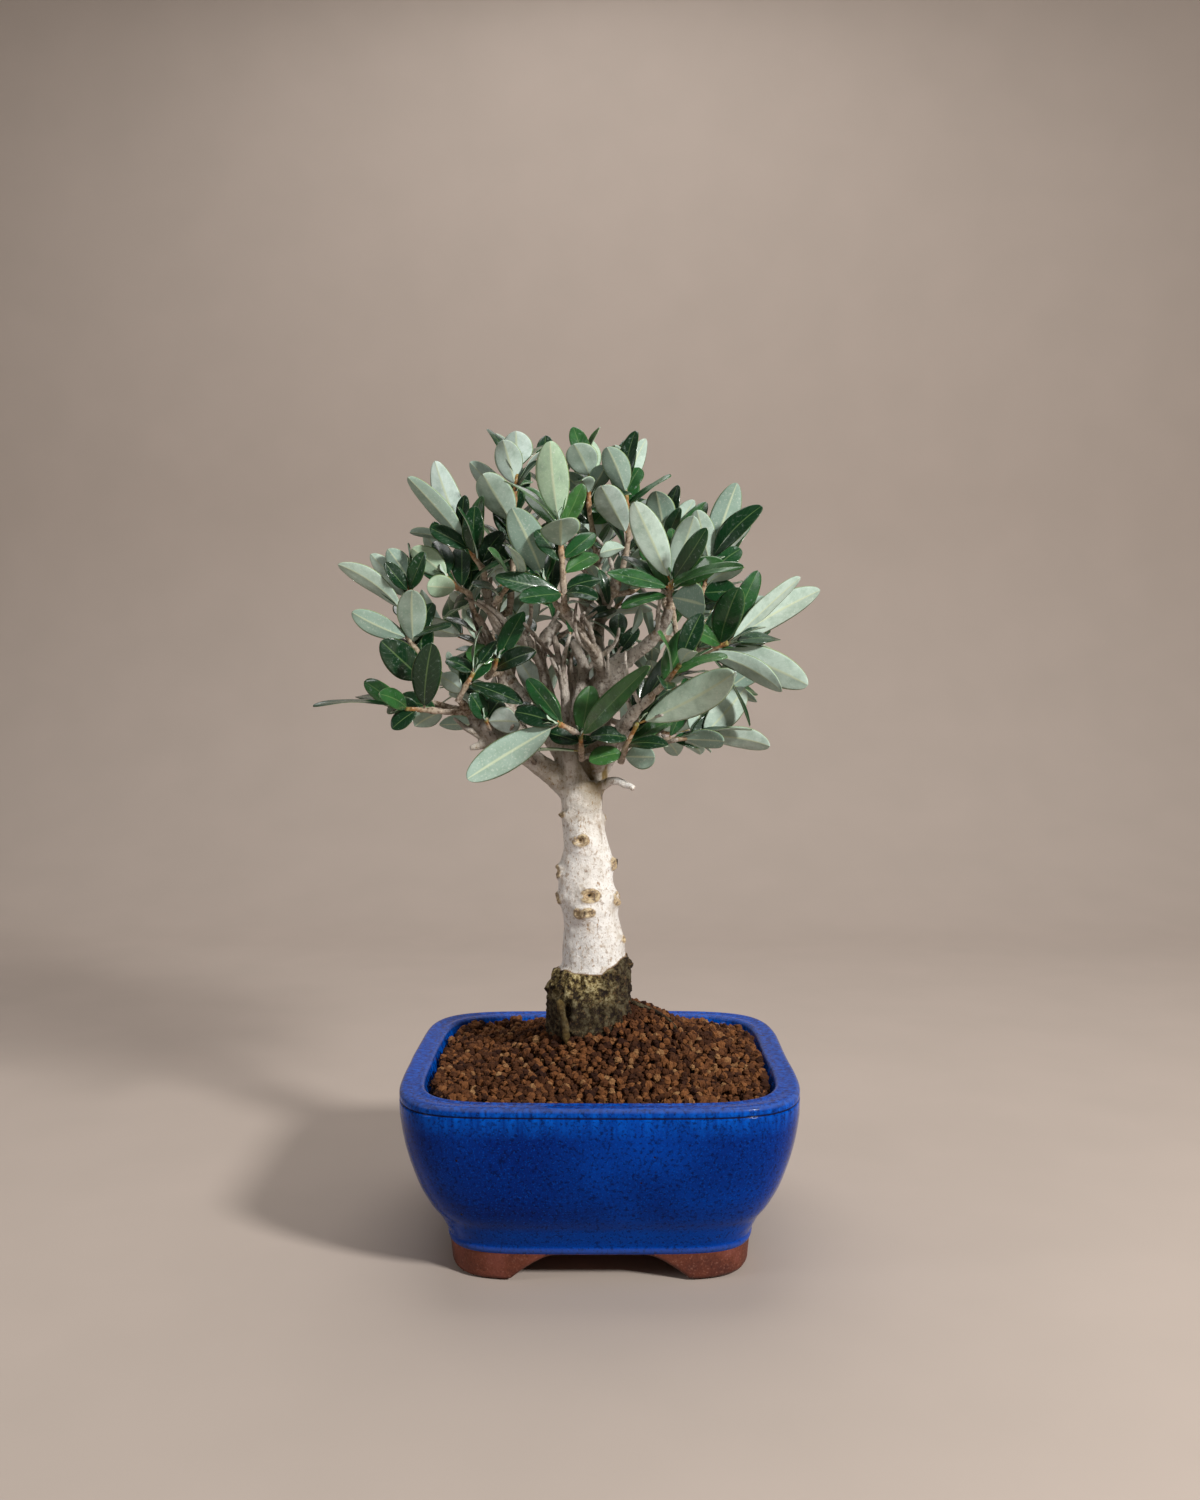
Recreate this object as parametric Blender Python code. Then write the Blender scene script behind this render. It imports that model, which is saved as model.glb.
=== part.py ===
"""Olive bonsai in a square blue pot.

The frame has +Z up and +X to the right of the front view. Tables are in millimetres, and make_object
turns them to metres. The origin is under the middle of the whole plant, on the surface that it stands on.
"""

import math

import bmesh
import bpy
import numpy as np
from mathutils.bvhtree import BVHTree

MM = 0.001
POT_ACROSS = 12.0  # the pot's middle, to the right of the middle of the whole plant
GAP = 0.3  # clearance between two nodes that touch
MERGE = 2e-6  # in metres: points this close after a Boolean are one

# Pot, a rounded square
POT_HALF = 75.0
POT_HEIGHT = 69.0
POT_SQUARENESS = 5.5  # exponent of the rounded square, 2 would be a circle
POT_SEGMENTS = 36
FLOOR_UNDER = 8.0
FLOOR_TOP = 14.0
FOOT_HALF = 57.2
FOOT_WALL = 11.0
RECESS_SIDES = 24
ARCH_TOP_HALF = 17.0
ARCH_FOOT_HALF = 33.0
ARCH_HEIGHT = 9.5
DRAIN_RADIUS = 8.0
DRAIN_OFFSET = 27.0
DRAIN_SIDES = 16
CUT_PAST = 2.0  # how far a cutter reaches past what it cuts
# Half width of the outside at each height, from the foot to the rim
POT_PROFILE = [
    (0.0, 56.6), (10.0, 57.6), (13.5, 58.2), (17.0, 59.8), (20.6, 61.6), (24.0, 64.0),
    (27.5, 66.0), (34.5, 69.2), (46.5, 72.8), (58.5, 74.8), (67.8, 75.0),
]

POT_LIP_OUTSIDE = 1.2  # how far the flat of the rim stays in from the outside
POT_LIP_INSIDE = 1.0

# Half width of the inside at each height, from the rim to the floor
POT_INSIDE = [(67.8, 66.0), (36.0, 58.0), (22.0, 51.0), (14.0, 45.0)]

# Soil
SOIL_EDGE_HEIGHT = 65.8
SOIL_MOUND_HEIGHT = 22.0
SOIL_MOUND_SPREAD = 25.5
SOIL_MOUND_MIDDLE = (7.0, 4.0)
SOIL_RELIEF = (1.3, -.5)  # every other point of a ring stands up, and the next one lies lower
SOIL_ROUGHNESS = .5
SOIL_MIDDLE_SHARE = .12  # the innermost ring's part of the width
SOIL_RINGS = 8
SOIL_SEGMENTS = POT_SEGMENTS
SOIL_GAP_TO_POT = 0.4

# Drain screens, lying on the floor over the drain holes
SCREEN_SIZE = 26.0
SCREEN_THICKNESS = 1.2
SCREEN_HOLES = 3  # in each row
SCREEN_BAR_SHARE = .3  # of the holes' pitch

# Root plug of the trunk, which stands in a plain hole in the soil
PLUG_RADIUS = 16.4
PLUG_BOTTOM = 44.0
PLUG_TAPER = .97
TRUNK_SUNK = 3.0  # how far the trunk's lowest ring sinks into the plug
HOLE_SIDES = 20
HOLE_BOTTOM = 43.0
HOLE_TOP = 96.0

# Front view from which the places of limbs, shoots and leaves are read: where the eye is, how far it looks
# down, and how many steps of the view grid go to one unit of depth. A place is (across, down, depth): two steps
# of the view grid from its top left corner, and the millimetres behind the plane through the trunk.
VIEW_POINT = (0.0, -566.0, 219.0)
VIEW_TILT = 0.049
VIEW_SCALE = 1423.0
VIEW_MIDDLE = (600.0, 750.0)

# Trunk: (across, down, depth, half width in mm)
TRUNK = [
    (590, 1034, 0, 16.4), (590, 1018, 0, 16.4), (590, 1000, 0, 16.2), (592, 983, 0, 14.7), (595, 966, 0, 13.0),
    (593, 940, 0, 12.1), (590, 915, 0, 10.7), (588, 895, 0, 10.0), (586, 868, 0, 9.3), (585, 842, 0, 8.9),
    (583, 815, 0, 8.2), (582, 797, 0, 8.4), (581, 782, 0, 8.0),
]

# Limbs, each from inside the trunk or another limb: (across, down, depth, half width in mm)
LIMBS = {
    "low_left": [(580, 800, 0, 5.4), (557, 778, -2, 4.6), (535, 761, -4, 4.2), (514, 748, -7, 4.0),
                 (494, 738, -9, 4.0), (478, 722, -11, 3.4), (472, 712, -12, 2.6)],
    "left_inner": [(576, 790, 0, 5.0), (562, 752, 1, 3.6), (554, 715, 2, 2.8), (546, 682, 2, 2.3),
                   (541, 658, 2, 2.3), (546, 638, 1, 3.0), (560, 622, 0, 2.1)],
    "middle": [(580, 788, -3, 4.8), (570, 755, -4, 3.0), (566, 722, -5, 2.3), (565, 694, -5, 1.9),
               (560, 665, -5, 1.5), (554, 636, -5, 1.2)],
    "middle_right": [(585, 788, 3, 5.0), (579, 752, 4, 3.6), (575, 716, 4, 3.0), (580, 690, 4, 2.7),
                     (583, 666, 3, 2.4), (572, 640, 2, 2.0)],
    "right": [(588, 792, 4, 6.2), (598, 757, 6, 5.4), (599, 722, 6, 5.0), (601, 690, 4, 5.0),
              (613, 670, 0, 4.4), (632, 656, -4, 3.0), (651, 641, -9, 2.4), (664, 624, -14, 2.2),
              (669, 608, -17, 2.0)],
    "centre_white": [(604, 674, 0, 3.0), (596, 656, -9, 2.4), (585, 637, -16, 2.3), (574, 622, -21, 2.2),
                     (565, 611, -24, 2.3)],
    "right_brown": [(603, 680, 6, 3.6), (598, 650, 10, 2.8), (600, 622, 12, 2.4), (607, 600, 12, 2.2),
                    (618, 583, 10, 2.0)],
    "left_stubs": [(542, 662, 2, 2.4), (527, 643, 1, 2.7), (511, 636, 0, 2.6), (499, 629, -2, 2.3),
                   (491, 610, -3, 2.1), (487, 590, -3, 1.9)],
    "left_outer": [(536, 760, -2, 3.2), (518, 722, 4, 2.4), (505, 690, 5, 2.0), (498, 660, 4, 1.9),
                   (486, 632, 1, 1.8), (477, 616, -2, 1.6)],
    "right_low": [(597, 745, 6, 3.6), (622, 742, 0, 2.8), (646, 744, -6, 2.2)],
    "back_left": [(579, 790, 3, 5.2), (560, 750, 16, 4.2), (535, 715, 27, 3.4), (510, 680, 35, 2.8),
                  (490, 640, 38, 2.3)],
    "back_right": [(588, 788, 5, 5.2), (612, 745, 18, 4.2), (640, 715, 29, 3.4), (668, 684, 37, 2.8),
                   (690, 650, 40, 2.3)],
    "back_middle": [(584, 786, 5, 5.0), (584, 735, 18, 4.0), (580, 680, 27, 3.2), (586, 630, 34, 2.7),
                    (590, 580, 35, 2.3)],
    "front_right": [(596, 764, 0, 3.8), (612, 742, -14, 2.8), (632, 715, -26, 2.2), (652, 696, -34, 1.8)],
}
STUBS = {
    "stub_right": [(592, 792, -2, 4.0), (612, 781, -8, 2.8), (626, 785, -11, 2.4), (634, 788, -13, 1.9)],
    "stub_low_left": [(500, 742, -9, 3.4), (484, 745, -12, 2.8), (470, 748, -14, 1.8)],
    "stub_peeled": [(484, 738, -11, 2.6), (466, 728, -15, 2.2), (453, 717, -17, 1.4)],
    "stub_inner": [(541, 668, 0, 2.6), (533, 650, -7, 2.2), (528, 636, -10, 1.8)],
}

# Shoots of the front: stem places (across, down, depth), then leaves (place along the stem from 0 to 1, the
# tip's three, the width in mm, and the turn from the front: 0 shows the upper face, 90 the edge, 180 the under face)
SHOOTS = {
    "left_low": ([(449, 712, -13), (425, 710, -15), (405, 709, -16)], [
        (1.0, 313, 706, -26, 8, 78), (.95, 356, 697, -4, 8, 65), (.95, 379, 694, -32, 8, 25),
        (.7, 392, 729, -18, 8, 30), (.12, 415, 726, -8, 10, 150), (.55, 432, 643, -30, 11.5, 8)]),
    "left_up": ([(431, 703, -4), (424, 680, -9), (419, 655, -13), (410, 640, -14), (404, 612, -10),
                 (409, 590, -8), (410, 570, -8)], [
        (.18, 381, 641, -24, 13, 8), (.5, 352, 612, -24, 9, 170), (.44, 412, 590, -28, 11.5, 175),
        (.7, 338, 564, -18, 9, 150), (.7, 350, 563, -4, 7, 48), (.8, 371, 554, 2, 8.5, 170),
        (.93, 388, 549, -4, 9, 175), (.85, 385, 563, -14, 7, 30), (1.0, 408, 543, -6, 4, 80),
        (.85, 425, 552, -16, 8, 35), (.5, 452, 625, -22, 6, 60), (.42, 433, 603, -6, 8, 25)]),
    "left_twig": ([(459, 700, -15), (466, 686, -16), (474, 672, -17)], [
        (.6, 523, 704, -24, 8.5, 42), (.6, 489, 660, -10, 9, 30), (1.0, 482, 626, -19, 4, 80),
        (.95, 446, 660, -14, 8, 42), (.3, 440, 676, -8, 8, 160), (.3, 492, 696, -6, 8, 25)]),
    "left_fork": ([(490, 727, -17), (486, 720, -19)], [
        (.8, 519, 722, -26, 11, 160), (1.0, 470, 694, -24, 9, 30), (1.0, 500, 700, -12, 9, 20)]),
    "left_outer_tip": ([(488, 676, -3), (494, 668, -9), (497, 658, -12)], [
        (.3, 536, 651, -20, 8, 25), (.9, 466, 652, -16, 9, 20), (1.0, 506, 640, -4, 8, 160)]),
    "left_middle": ([(472, 606, -6), (469, 594, -8), (458, 588, -9), (447, 577, -9)], [
        (.62, 427, 586, -14, 10, 155), (.95, 412, 548, -12, 10, 168), (1.0, 437, 541, -3, 9, 30),
        (.5, 462, 545, -2, 9, 22), (.78, 424, 567, 2, 8, 160), (.35, 500, 562, -18, 6, 78),
        (.0, 443, 619, -10, 5, 82), (.1, 455, 604, 4, 8, 30)]),
    "left_top": ([(487, 580, -5), (483, 570, -8), (474, 557, -10), (469, 546, -11)], [
        (.95, 408, 477, -18, 9.5, 145), (.9, 430, 528, -16, 8, 30), (.95, 410, 532, 0, 7, 125),
        (1.0, 435, 461, 2, 11, 178), (.7, 475, 506, -16, 9, 15), (.5, 458, 507, -22, 6, 80),
        (.4, 503, 532, -6, 9, 30), (.3, 450, 562, 4, 8, 20)]),
    "upper_left": ([(509, 612, 2), (513, 570, 4), (513, 528, 2), (515, 492, 0), (518, 466, 2)], [
        (.6, 483, 474, -12, 14, 160), (.85, 503, 440, -6, 11, 178), (1.0, 516, 431, 4, 13, 172),
        (.72, 470, 462, 8, 9, 160), (.9, 487, 429, 10, 7, 60), (.95, 493, 434, 15, 6, 150),
        (.8, 538, 461, -4, 6, 65), (.85, 533, 482, 4, 5, 70), (.62, 527, 470, 9, 9, 20),
        (.45, 498, 500, 8, 9, 15), (.3, 530, 545, 10, 9, 15), (.3, 490, 548, 8, 9, 20)]),
    "centre_left": ([(556, 604, -20), (550, 592, -22), (545, 582, -24)], [
        (1.0, 512, 508, -30, 13.5, 172), (.9, 555, 545, -20, 7, 40), (.6, 528, 560, -12, 8, 20)]),
    "centre": ([(564, 598, -26), (562, 560, -29), (559, 522, -30)], [
        (1.0, 550, 441, -38, 12.5, 178), (.66, 561, 519, -48, 15, 170), (.06, 495, 577, -34, 8.5, 22),
        (.04, 519, 599, -38, 8.5, 35), (.04, 598, 599, -34, 7, 40), (.1, 601, 580, -24, 8, 40),
        (.95, 504, 481, -26, 7, 75), (.85, 583, 484, -24, 8, 20), (.9, 525, 488, -14, 8, 25),
        (.5, 594, 533, -22, 8.5, 35), (.3, 598, 556, -18, 8, 28), (.45, 536, 530, -20, 9, 30)]),
    "top_middle": ([(600, 578, 14), (594, 540, 12), (589, 505, 8), (590, 472, 6)], [
        (.95, 574, 444, 0, 13, 168), (1.0, 573, 427, 9, 8, 20), (1.0, 600, 427, 6, 6, 70),
        (.8, 582, 480, -4, 9, 160), (.65, 631, 494, -10, 6, 75), (.75, 562, 474, 12, 8, 160),
        (1.0, 592, 440, 13, 9, 160), (.5, 568, 500, 10, 9, 20), (.5, 608, 508, 14, 9, 15),
        (.8, 606, 466, -2, 8, 170)]),
    "top_right": ([(622, 572, 8), (628, 540, 4), (627, 510, 0), (626, 490, 0)], [
        (1.0, 636, 431, 3, 9, 35), (1.0, 646, 439, 10, 8, 168), (.95, 640, 468, 4, 8, 25),
        (.95, 607, 447, -4, 10.5, 172), (.8, 671, 475, -4, 7, 72), (.45, 601, 486, -14, 12, 172),
        (.7, 645, 500, 9, 9, 20), (.3, 600, 553, -6, 7, 155)]),
    "right_top": ([(669, 600, -20), (670, 591, -21), (671, 582, -22)], [
        (1.0, 634, 502, -32, 12, 178), (1.0, 694, 516, -28, 11, 178), (.6, 607, 573, -26, 8, 38),
        (.1, 621, 608, -20, 7, 48), (1.0, 707, 528, -38, 8, 12), (.9, 723, 562, -42, 10, 25),
        (.5, 744, 567, -48, 7, 62), (.02, 705, 605, -42, 14.5, 172), (.3, 650, 545, -10, 9, 20)]),
    "right_behind": ([(664, 596, 2), (670, 570, 4), (665, 540, 4)], [
        (1.0, 656, 491, 0, 12, 170), (.95, 678, 485, 6, 9, 38), (.9, 681, 508, -4, 8, 42),
        (.75, 694, 500, 9, 9, 160), (.6, 706, 502, 14, 9, 20), (.5, 640, 548, 6, 9, 20)]),
    "right_middle": ([(678, 640, -2), (694, 612, -3), (706, 582, -3), (711, 560, -3)], [
        (.95, 697, 510, -8, 10, 175), (1.0, 737, 483, 0, 11.5, 176), (1.0, 762, 506, -10, 9.5, 25),
        (.8, 741, 549, -2, 10, 28), (.7, 742, 567, -14, 8, 150), (.6, 737, 592, -6, 10, 22),
        (.4, 722, 600, 8, 9, 20), (.4, 672, 592, 10, 9, 25)]),
    "far_right": ([(684, 651, -11), (705, 651, -15), (717, 647, -17), (729, 643, -18)], [
        (.8, 739, 587, -34, 11.5, 10), (.6, 766, 597, -6, 12.5, 176), (1.0, 766, 627, -24, 5, 78),
        (.9, 758, 571, 8, 9, 15), (1.0, 800, 577, -12, 8.5, 140), (1.0, 820, 590, -4, 12, 160),
        (.62, 808, 685, -22, 13.5, 172), (.4, 782, 691, -32, 9, 158), (.5, 750, 726, -14, 5, 80),
        (.85, 688, 629, -26, 8, 30), (.3, 702, 628, 0, 10, 175)]),
    "low_middle": ([(582, 758, -14), (581, 747, -19), (581, 736, -24)], [
        (.9, 590, 686, -32, 10, 15), (1.0, 650, 666, -50, 8.5, 20), (.3, 489, 760, -22, 6, 80),
        (.7, 549, 733, -22, 8, 30), (.5, 612, 728, -14, 8, 30)]),
    "low_middle_fork": ([(573, 731, -27), (566, 727, -29), (558, 724, -30)], [
        (1.0, 467, 779, -38, 13, 176), (.8, 515, 712, -26, 9.5, 28), (.9, 540, 690, -20, 8, 25)]),
    "low_right": ([(621, 760, -15), (625, 749, -18), (630, 738, -21), (638, 722, -24)], [
        (1.0, 694, 638, -40, 10.5, 42), (.95, 734, 673, -46, 14, 176), (.9, 712, 648, -28, 6, 72),
        (.55, 590, 737, -26, 8, 35), (.2, 589, 761, -20, 9, 32), (.4, 668, 746, -30, 8, 48),
        (.1, 655, 757, -22, 10, 175), (.65, 640, 697, -16, 9, 20), (.85, 622, 704, -20, 8, 160)]),
    "right_low": ([(652, 742, -8), (670, 740, -10), (690, 738, -12), (706, 736, -12)], [
        (.3, 752, 730, -20, 7, 80), (1.0, 770, 746, -17, 9.5, 158), (.5, 724, 741, -24, 8.5, 150),
        (.6, 701, 754, -6, 8, 140), (.9, 745, 688, -8, 12, 174), (.8, 706, 700, -2, 9.5, 168),
        (.2, 678, 755, -4, 8, 160)]),
}

# Shoots of the back and the sides, whose leaves all follow the rule: stem places (across, down, depth)
BACK_SHOOTS = [
    [(488, 632, 39), (474, 612, 36), (458, 590, 32), (446, 566, 28)],
    [(492, 650, 43), (470, 640, 49), (446, 630, 52)],
    [(496, 645, 41), (500, 600, 37), (498, 560, 30)],
    [(512, 690, 39), (480, 690, 46), (452, 686, 49)],
    [(512, 676, 41), (516, 640, 49), (520, 600, 56)],
    [(586, 574, 38), (570, 540, 34), (556, 505, 29), (550, 478, 26)],
    [(592, 574, 38), (606, 540, 33), (616, 500, 28), (620, 470, 26)],
    [(590, 600, 38), (588, 560, 49), (586, 520, 54)],
    [(580, 640, 34), (556, 610, 44), (536, 575, 51)],
    [(588, 640, 36), (614, 610, 46), (636, 575, 52)],
    [(692, 644, 43), (706, 618, 40), (716, 590, 34), (722, 560, 28)],
    [(688, 656, 43), (714, 650, 49), (742, 640, 51)],
    [(680, 664, 41), (674, 620, 38), (668, 575, 33), (660, 540, 30)],
    [(664, 690, 41), (696, 694, 48), (726, 690, 51)],
    [(650, 700, 38), (650, 670, 49), (652, 640, 57)],
    [(610, 720, 30), (612, 700, 43), (616, 680, 52)],
    [(560, 722, 28), (548, 706, 41), (540, 690, 51)],
    [(524, 716, 25), (506, 724, 33), (484, 726, 38)],
    [(640, 722, 25), (664, 732, 31), (690, 732, 34)],
    [(654, 694, -36), (668, 680, -44), (680, 664, -50)],
    [(488, 610, -2), (505, 590, -16), (520, 574, -26)],
    [(607, 596, 10), (634, 590, 14), (648, 578, 18)],
]

# The crown's outline in the front view: a leaf that follows the rule isn't seen outside it, or deeper than this
CROWN_OUTLINE = [
    (345, 700), (350, 620), (372, 562), (420, 540), (430, 490), (460, 470), (495, 435), (560, 428), (640, 436),
    (672, 478), (735, 488), (765, 515), (812, 592), (800, 640), (805, 685), (765, 745), (700, 755), (640, 768),
    (560, 765), (500, 745), (440, 730),
]
CROWN_DEPTH = 73.0

# Leaf: places along the blade with the share of the full width there, and how it bends
LEAF_STATIONS = [(.16, .24), (.52, 1.0), (.87, .68)]
LEAF_THICKNESS = 1.0
LEAF_FOLD = .16
LEAF_ARCH = .07
LEAF_CLEARANCE = .42
LEAF_ROOT = .3  # leaves of one shoot may meet in this share of their length, where they grow together
MEETING_GROWTH = .1
LEAF_SHORTEST = 14.0
LEAF_LONGEST = 27.0
LEAF_SLENDERNESS = .40
LEAF_SIZES = (.75, 1.0)  # the pairs' sizes vary by this much, then each leaf's length and slenderness
LEAF_LENGTHS = (.85, 1.1)
LEAF_WIDTHS = (.85, 1.15)
TIP_LEAF_SIZE = .85
PAIR_SPACING = 11.5
FIRST_PAIR = .22  # share of the stem below the first pair
SPLAY_LOW, SPLAY_CHANGE, SPLAY_VARIES = 62.0, -30.0, 8.0  # degrees from the stem
LEAF_LIFT = .18  # leaves bend up by this much
FACE_LIFT = .5  # and turn their upper face up by this much
STEM_BASE_RADIUS = 1.25
STEM_TIP_RADIUS = .75
STEM_SIDES = 4
SPUR_THICKER = 1.3  # a spur's radius in its limb, as a share of the stem's
SPUR_LIMB_SHARE = .6  # and at most this share of the limb's radius
SPUR_SHORTEST = 2.5  # how far a spur stands out of its limb at least
BACKWARDS = .1  # a front shoot's ruled leaves point back at least this much
SEED = 11
TRUNK_SIDES = 11
LIMB_SIDES = 5
# How a leaf may be moved clear of its neighbours: its tip along the line of sight in mm, its turn in degrees
SWINGS_DEEP = ((0, 0), (4, 0), (-4, 0), (0, 16), (0, -16), (8, 0), (-8, 0), (5, 20), (-5, -20), (12, 0),
               (-12, 0), (10, 20), (-10, -20), (17, 0), (-17, 0), (23, 0), (14, 35), (-14, -35), (-23, 0))
# and round its stem and away from it, in degrees
SWINGS_ROUND = ((0, 0), (18, 0), (-18, 0), (0, 15), (36, 0), (-36, 0), (0, -15), (55, 10), (-55, 10), (80, 0))

COLOURS = {  # red, green, blue in linear light, roughness
    "glaze": ((.006, .03, .30), .15),
    "granules": ((.16, .06, .03), .95),
    "bark": ((.55, .48, .40), .85),
    "leaf": ((.05, .13, .04), .40),
    "screen": ((.02, .02, .02), .6),
}


def clear_scene():
    for obj in list(bpy.data.objects):
        bpy.data.objects.remove(obj, do_unlink=True)


def material(name):
    """One Principled material for each node."""
    colour, roughness = COLOURS[name]
    mat = bpy.data.materials.new(name)
    mat.use_nodes = True
    shader = mat.node_tree.nodes["Principled BSDF"]
    shader.inputs["Base Color"].default_value = (*colour, 1.0)
    shader.inputs["Roughness"].default_value = roughness
    shader.inputs["Metallic"].default_value = 0.0
    return mat


def make_object(name, shape, colour=None, parent=None):
    """An object from (points in mm, faces)."""
    points, faces = shape
    mesh = bpy.data.meshes.new(name)
    mesh.from_pydata((np.asarray(points) * MM).tolist(), [], [list(map(int, f)) for f in faces])
    bm = bmesh.new()
    bm.from_mesh(mesh)
    bmesh.ops.triangulate(bm, faces=bm.faces)
    bm.to_mesh(mesh)
    bm.free()
    obj = bpy.data.objects.new(name, mesh)
    bpy.context.scene.collection.objects.link(obj)
    if colour:
        mesh.materials.append(material(colour))
    obj.parent = parent
    return obj


def main_body(bm):
    """Keeps the largest body: what else a union leaves is a loose scrap, or the skin of a sealed hollow."""
    left = set(bm.faces)
    bodies = []
    while left:
        body, border = set(), [left.pop()]
        while border:
            face = border.pop()
            body.add(face)
            near = {other for edge in face.edges for other in edge.link_faces} & left
            border += near
            left -= near
        bodies.append(body)
    bodies.sort(key=len)
    for body in bodies[:-1]:
        bmesh.ops.delete(bm, geom=list(body), context="FACES")


def boolean_result(obj, group, operation, solver):
    """The mesh that one Boolean with a collection gives, or None where it isn't closed."""
    boolean = obj.modifiers.new("boolean", "BOOLEAN")
    boolean.operation = operation
    boolean.solver = solver
    boolean.operand_type = "COLLECTION"
    boolean.collection = group
    view = bpy.context.evaluated_depsgraph_get()
    bm = bmesh.new()
    bm.from_object(obj, view)
    obj.modifiers.clear()
    bmesh.ops.remove_doubles(bm, verts=bm.verts, dist=MERGE)
    bmesh.ops.triangulate(bm, faces=bm.faces)
    main_body(bm)
    if all(edge.is_contiguous for edge in bm.edges):
        return bm
    bm.free()
    return None


def join(obj, pieces, operation="UNION"):
    """Adds or cuts all the pieces with one Boolean on a collection, applies it and removes the pieces.

    EXACT comes first, and MANIFOLD where its result isn't closed.
    """
    group = bpy.data.collections.new("operands")
    bpy.context.scene.collection.children.link(group)
    for piece in pieces:
        bpy.context.scene.collection.objects.unlink(piece)
        group.objects.link(piece)
    bm = boolean_result(obj, group, operation, "EXACT")
    if bm is None:
        print(obj.name, "takes the other solver")
        bm = boolean_result(obj, group, operation, "MANIFOLD")
    for face in bm.faces:
        face.material_index = 0
    bm.to_mesh(obj.data)
    bm.free()
    for piece in pieces:
        bpy.data.objects.remove(piece, do_unlink=True)
    bpy.data.collections.remove(group)


def shade(obj, degrees=40):
    obj.data.shade_smooth()
    obj.data.set_sharp_from_angle(angle=math.radians(degrees))


def unit(v):
    return v / np.linalg.norm(v)


def place(across, down, depth):
    """The point in mm at a place of the front view: the line of sight through it, followed to its depth."""
    eye = np.array(VIEW_POINT)
    side = (across - VIEW_MIDDLE[0]) / VIEW_SCALE
    rise = (VIEW_MIDDLE[1] - down) / VIEW_SCALE
    c, s = math.cos(VIEW_TILT), math.sin(VIEW_TILT)
    line = np.array([side, c + rise * s, rise * c - s])
    return eye + line * (depth - VIEW_POINT[1]) / line[1]


def places(rows):
    return np.array([place(*row[:3]) for row in rows])


def rounded_square(half, segments, squareness=POT_SQUARENESS):
    """Points of |x|^n + |y|^n = half^n, evenly spaced along it."""
    t = np.linspace(0, 2 * math.pi, 2881)
    c, s = np.cos(t), np.sin(t)
    x = half * np.sign(c) * np.abs(c) ** (2 / squareness)
    y = half * np.sign(s) * np.abs(s) ** (2 / squareness)
    run = np.concatenate([[0], np.cumsum(np.hypot(np.diff(x), np.diff(y)))])
    want = np.linspace(0, run[-1], segments, endpoint=False)
    return np.stack([np.interp(want, run, x), np.interp(want, run, y)], 1)


def rings_to_solid(rings):
    """Closes rings of equal length, one above the other from the outside round to the inside."""
    count = len(rings[0])
    points = np.concatenate(rings)
    faces = []
    for k in range(len(rings) - 1):
        for i in range(count):
            j = (i + 1) % count
            faces.append((k * count + i, k * count + j, (k + 1) * count + j, (k + 1) * count + i))
    faces.append(tuple(range(count - 1, -1, -1)))
    last = (len(rings) - 1) * count
    faces.append(tuple(range(last, last + count)))
    return points, faces


def level(outline, height):
    return np.column_stack([outline, np.full(len(outline), height)])


def box(x0, x1, y0, y1, z0, z1):
    points = [(x, y, z) for z in (z0, z1) for y in (y0, y1) for x in (x0, x1)]
    faces = [(0, 2, 3, 1), (4, 5, 7, 6), (0, 1, 5, 4), (2, 6, 7, 3), (0, 4, 6, 2), (1, 3, 7, 5)]
    return points, faces


def prism(outline, z0, z1):
    """An upright prism over an anticlockwise outline."""
    return rings_to_solid([level(np.asarray(outline), z0), level(np.asarray(outline), z1)])


def circle(radius, sides, x=0.0, y=0.0):
    t = np.linspace(0, 2 * math.pi, sides, endpoint=False)
    return np.column_stack([x + radius * np.cos(t), y + radius * np.sin(t)])


def arch_cutter(along_y):
    """The opening between two feet: a flat top that curves down to the feet, right through the pot."""
    t = np.linspace(0, 1, 4)
    side = ARCH_TOP_HALF + (ARCH_FOOT_HALF - ARCH_TOP_HALF) * t ** 1.5
    rise = ARCH_HEIGHT * (1 - t ** 2.2)
    half = np.column_stack([side, rise])
    below = [(ARCH_FOOT_HALF, -CUT_PAST)], [(-ARCH_FOOT_HALF, -CUT_PAST)]
    outline = np.concatenate([below[0], half[::-1], half * (-1, 1), below[1]])
    reach = POT_HALF + CUT_PAST
    front = np.column_stack([outline[:, 0], np.full(len(outline), -reach), outline[:, 1]])
    back = front * (1, -1, 1)
    points, faces = rings_to_solid([front[::-1], back[::-1]])
    if along_y:
        points = np.column_stack([-points[:, 1], points[:, 0], points[:, 2]])
    return points, faces


def pot(parent):
    """The wall is lofted from the foot over the rim and down inside, then the feet and drains are cut."""
    lip = [(POT_HEIGHT, POT_HALF - POT_LIP_OUTSIDE), (POT_HEIGHT, POT_INSIDE[0][1] + POT_LIP_INSIDE)]
    rings = [level(rounded_square(half, POT_SEGMENTS), z) for z, half in POT_PROFILE + lip + POT_INSIDE]
    obj = make_object("pot", rings_to_solid(rings), "glaze", parent)
    hollow = rounded_square(FOOT_HALF - FOOT_WALL, RECESS_SIDES)
    recess = make_object("recess", prism(hollow, -CUT_PAST, FLOOR_UNDER))
    cutters = [recess, make_object("arch", arch_cutter(False)), make_object("arch", arch_cutter(True))]
    for x in (-DRAIN_OFFSET, DRAIN_OFFSET):
        hole = prism(circle(DRAIN_RADIUS, DRAIN_SIDES, x), -CUT_PAST, FLOOR_TOP + CUT_PAST)
        cutters.append(make_object("drain", hole))
    join(obj, cutters, "DIFFERENCE")
    shade(obj, 35)
    return obj


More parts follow.
